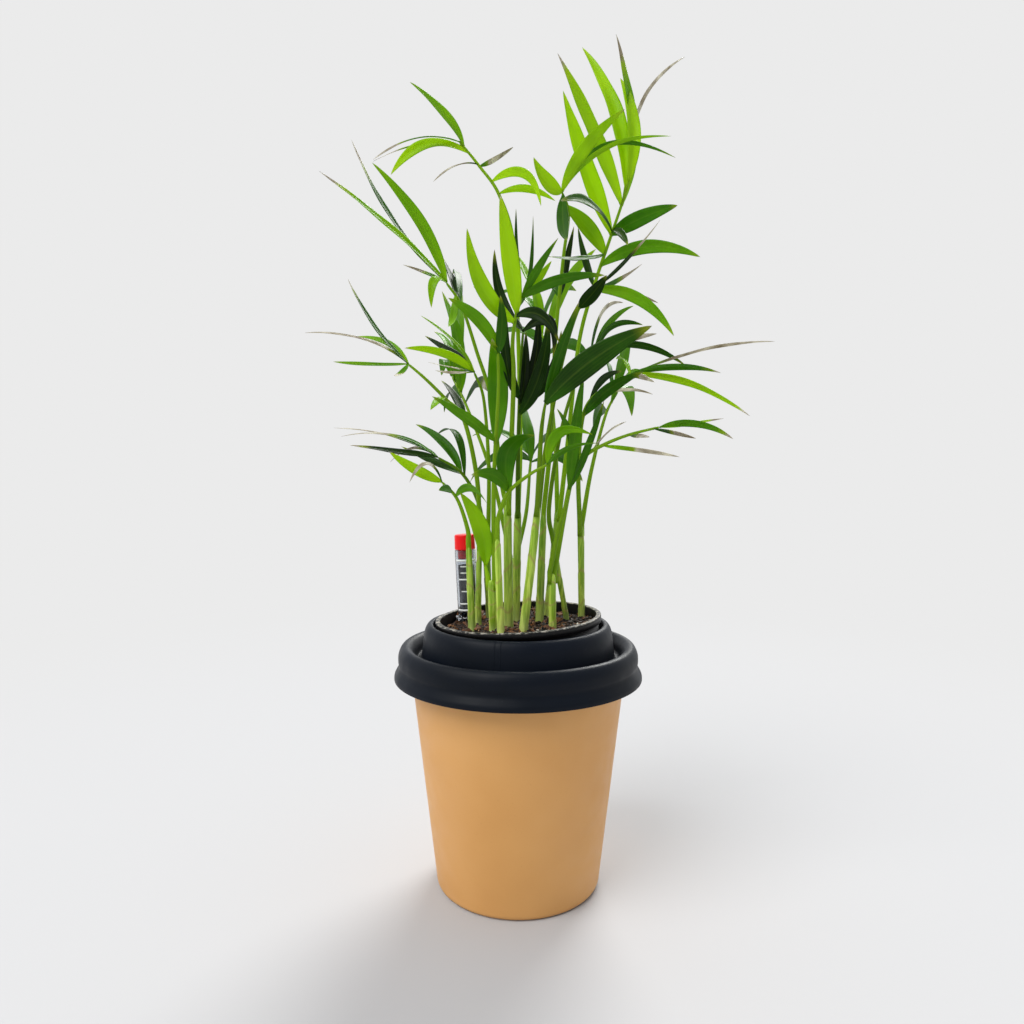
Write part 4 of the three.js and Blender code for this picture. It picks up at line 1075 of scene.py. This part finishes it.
def leaflet(base, tip, width, arch, turn):
    """A thin closed blade. Its midline is a quadratic Bezier curve that bows upwards. Its half width is
    width / 2 * sin(pi s^0.8)^0.75, but never under a straight taper from the base. Its surface is
    midline + t side + (keel |t| + ripples) face, for s along and t across, with a skin on each side."""
    along = unit(tip - base)
    upward = unit(np.array([0, 0, 1]) - along[2] * along)
    bend = base + 0.45 * (tip - base) + 2 * arch * upward
    s = np.linspace(0, 1, BLADE_ROWS)[:, None]
    midline = (1 - s) ** 2 * base + 2 * s * (1 - s) * bend + s**2 * tip
    tangent = unit(np.gradient(midline, axis=0))
    front = unit(np.array([0, -1, 0]) + along[1] * along)
    angle = math.radians(turn) + chance.uniform(-0.35, 0.35) * (s - 0.3)
    facing = np.cos(angle) * front + np.sin(angle) * np.cross(along, front)
    side = unit(np.cross(tangent, facing))
    face = np.cross(side, tangent)
    length = np.linalg.norm(tip - base)
    sickle = chance.uniform(-0.035, 0.035) * length * s * (1 - s) * 4
    midline = midline + sickle * side
    half = width / 2 * np.maximum(0.24 * (1 - s), np.sin(np.pi * s**0.8) ** 0.75)
    t = np.linspace(-1, 1, BLADE_COLUMNS)[None, :]
    keel = np.radians(22) * (1 - 0.7 * s) * chance.uniform(0.6, 1.2)
    waves = chance.uniform(0, 2 * np.pi, 2)
    ripple = 0.05 * width * t**2 * np.sin(2 * np.pi * s * length / 26 + waves[0] + np.sign(t) * waves[1])
    corrugation = 0.06 * np.cos(np.pi * 7 * t) * np.sin(np.pi * s)
    out = half * np.abs(t) * np.sin(keel) + ripple * np.sin(np.pi * s) ** 0.5 + corrugation
    sideways = (t * half * np.cos(keel))[..., None] * side[:, None]
    centre = midline[:, None] + sideways + out[..., None] * face[:, None]
    skin = (0.16 * (1 - 0.5 * t**2) * np.minimum(1, 1.3 - s))[..., None] * face[:, None]
    ring = np.concatenate([centre + skin, (centre - skin)[:, ::-1]], 1)
    rows, sides = ring.shape[:2]
    faces = grid_faces(rows, sides)
    faces += [list(range(sides))[::-1], list(range((rows - 1) * sides, rows * sides))]
    across = np.concatenate([t, t[:, ::-1]], 1) * 0.5 + 0.5
    points = ring.reshape(-1, 3)
    return points, faces, np.broadcast_to(across, (rows, sides)), np.broadcast_to(s, (rows, sides))


def frond(name):
    """One frond: the petiole and rachis as a grooved tube, and its leaflets."""
    leaflet_age_and_shade = LEAF_AGE_AND_SHADE[name]
    dried = DRIED.get(name, {})
    start, tangent = petiole_start(name)
    knots = np.vstack([start, np.array(FRONDS[name]["path"]) + (0, 0, mix_z)])
    rows, sides = 24 * len(knots), 14
    centres = np.vstack([start - 5 * tangent, start - 2.5 * tangent, through(knots, np.linspace(0, 1, rows))])
    share = np.linspace(0, 1, len(centres))[:, None]
    angle = np.arange(sides) / sides * 2 * np.pi
    radius = (1.1 - 0.6 * share) * (1 - 0.16 * np.exp(-(((angle - np.pi / 2) / 0.5) ** 2)))
    radius[-4:] *= np.array([0.95, 0.85, 0.65, 0.35])[:, None]
    points, faces = tube(centres, radius)
    parts = [(points, faces)]
    across, along = [np.full(len(points), 0.5)], [np.zeros(len(points))]
    # These values are the leaflets' age and painted shade; the petiole takes their mean.
    shade = [np.full(len(points), np.mean(leaflet_age_and_shade))]
    dry = [np.full(len(points), NEVER_DRY)]
    rib = [np.ones(len(points))]
    for number, (place_on, x, y, height, width, arch, turn) in enumerate(FRONDS[name]["leaflets"]):
        base = through(knots, [place_on])[0]
        tip = np.array([x, y, height + mix_z])
        points, faces, t, s = leaflet(base, tip, width, arch, turn)
        parts.append((points, faces))
        across.append(t.ravel())
        along.append(s.ravel())
        shade.append(np.full(len(points), leaflet_age_and_shade[number] + chance.normal(0, 0.03)))
        dry.append(np.full(len(points), dried.get(number, 0.975 + chance.uniform(0, 0.06))))
        rib.append(np.zeros(len(points)))
    points, faces = join_up(parts)
    piece = make_piece(f"palm_{name}", points, faces)
    numbers = {"across": across, "along": along, "shade": shade, "dry": dry, "rib": rib}
    for attribute, values in numbers.items():
        add_numbers(piece, attribute, np.concatenate(values))
    return piece


def leaf_finish():
    """Satin green skin with a paler midrib and fine veins, over a body that passes some light through."""
    finish = Finish("palm leaf", IOR=1.45, Specular_IOR_Level=0.24)
    names = ("across", "along", "shade", "dry", "rib")
    nodes = (finish.node("Attribute", {"attribute_name": name}) for name in names)
    across, along, shade, dry, rib = (node.outputs["Fac"] for node in nodes)
    cloud = finish.sum("MULTIPLY_ADD", finish.noise(60, 3.0), 0.3, -0.15)
    # depth is the leaflet's age and painted shade: low values paint it dark as inside the clump, high ones
    # light as where it is lit.
    depth = finish.sum("ADD", shade, cloud)
    foot_light = finish.sum("MULTIPLY", finish.between(along, 0.0, 0.35, 1.0, 0.0), 0.08)
    depth = finish.sum("ADD", depth, foot_light)
    greens = (
        (0.0, paint(8, 26, 8)),
        (0.2, paint(28, 65, 2)),
        (0.45, paint(58, 117, 2)),
        (0.7, paint(100, 162, 2)),
        (0.9, paint(150, 196, 2)),
        (1.0, paint(170, 210, 6)),
    )
    colour = finish.ramp(depth, *greens)
    off_middle = finish.sum("ABSOLUTE", finish.sum("SUBTRACT", across, 0.5))
    midrib = finish.between(off_middle, 0.015, 0.06, 1.0, 0.0)
    vein = finish.sum("SINE", finish.sum("MULTIPLY", across, 2 * math.pi * 8))
    vein_light = finish.sum("MULTIPLY", finish.between(vein, 0.2, 1.0), 0.05)
    colour = finish.mix(vein_light, colour, paint(170, 214, 70))
    colour = finish.mix(finish.sum("MULTIPLY", midrib, 0.1), colour, paint(176, 208, 84))
    # The petiole's green follows the same age and painted shade.
    petiole = finish.mix(shade, paint(82, 122, 12), paint(166, 206, 34))
    colour = finish.mix(rib, colour, petiole)
    past = finish.sum("SUBTRACT", finish.sum("MULTIPLY_ADD", finish.noise(260, 2.0), 0.06, along), dry)
    yellowing = finish.sum("MULTIPLY", finish.between(past, -0.12, 0.02), 0.7)
    colour = finish.mix(yellowing, colour, paint(176, 190, 40))
    tip = finish.between(past, 0.0, 0.06)
    straw = finish.ramp(finish.noise(120, 3.0), (0.35, paint(150, 136, 104)), (0.65, paint(228, 224, 208)))
    colour = finish.mix(tip, colour, straw)
    gloss = finish.between(finish.noise(60, 2.0), 0.3, 0.7, 0.36, 0.48)
    finish.feed(finish.surface, Base_Color=colour, Roughness=gloss)
    glow = finish.ramp(depth, (0.0, paint(22, 52, 1)), (0.45, paint(98, 156, 1)), (0.95, paint(206, 238, 4)))
    glow = finish.mix(tip, glow, straw)
    finish.blend(0.42, finish.node("BsdfTranslucent", Color=glow))
    return finish


leaf = leaf_finish()
for name in FRONDS:
    stand_in(frond(name), leaf, "leaf", name)

# ---------------------------------------------------------------- floor, lights and camera
# A pale floor that fades into an even backdrop, a broad key light from the upper left, a light from behind
# that shows through the leaves, and air that is brighter behind the plant than in front of it.
BACKDROP = paint(235, 235, 235)
floor_sides = 96
floor_radii = np.concatenate([[0], np.geomspace(20, 3000, 60)])
floor_outline = np.column_stack([floor_radii, np.zeros(len(floor_radii))])
floor_points = turned_points(floor_outline, floor_sides).reshape(-1, 3)
floor_faces = [face[::-1] for face in grid_faces(len(floor_radii), floor_sides)]
floor = make_piece("studio_floor", floor_points, floor_faces, True)
pale = Finish("pale floor", Base_Color=paint(181, 181, 183), Roughness=0.9, Specular_IOR_Level=0.1)
far_off = pale.node("VectorMath", {"operation": "LENGTH"}, Vector=pale.place()).outputs["Value"]
even = pale.node("Emission", Color=BACKDROP, Strength=1.0)
pale.blend(pale.between(far_off, 0.12, 0.7), even)
floor.data.materials.append(pale.material)


def add_sun(name, bearing, height, strength, spread, colour):
    """A soft sun: bearing runs clockwise from straight ahead of the front, and all angles are in degrees."""
    data = bpy.data.lights.new(name, "SUN")
    data.energy, data.angle, data.color = strength, math.radians(spread), colour
    light = bpy.data.objects.new(name, data)
    light.rotation_euler = (math.radians(90 - height), 0, math.radians(bearing))
    bpy.context.collection.objects.link(light)


add_sun("key_sun", -48, 50, 2.2, 40, (1, 0.99, 0.97))
add_sun("back_sun", 160, 42, 2.9, 30, (1, 1, 0.97))

world = bpy.data.worlds.new("studio air")
world.use_nodes = True
air = world.node_tree
direction = air.nodes.new("ShaderNodeSeparateXYZ")
air.links.new(air.nodes.new("ShaderNodeTexCoord").outputs["Generated"], direction.inputs[0])
depth_share = air.nodes.new("ShaderNodeMapRange")
air.links.new(direction.outputs["Y"], depth_share.inputs["Value"])
for socket, value in (("From Min", -1.0), ("From Max", 1.0), ("To Min", 0.4), ("To Max", 0.96)):
    depth_share.inputs[socket].default_value = value
for_light = air.nodes["Background"]
for_light.inputs["Color"].default_value = (0.96, 0.98, 1, 1)
air.links.new(depth_share.outputs["Result"], for_light.inputs["Strength"])
for_eye = air.nodes.new("ShaderNodeBackground")
for_eye.inputs["Color"].default_value = BACKDROP
seen = air.nodes.new("ShaderNodeMixShader")
air.links.new(air.nodes.new("ShaderNodeLightPath").outputs["Is Camera Ray"], seen.inputs[0])
air.links.new(for_light.outputs[0], seen.inputs[1])
air.links.new(for_eye.outputs[0], seen.inputs[2])
air.links.new(seen.outputs[0], air.nodes["World Output"].inputs["Surface"])
bpy.context.scene.world = world
bpy.context.scene.view_settings.view_transform = "Standard"

lens = bpy.data.cameras.new("camera")
lens.lens = 27.1
lens.sensor_width = 36
lens.clip_start = 0.01
camera = bpy.data.objects.new("camera", lens)
camera.location = (-0.0026, -0.329, 0.181)
camera.rotation_euler = (math.radians(90 - 3.6), 0, 0)
bpy.context.collection.objects.link(camera)
bpy.context.scene.camera = camera
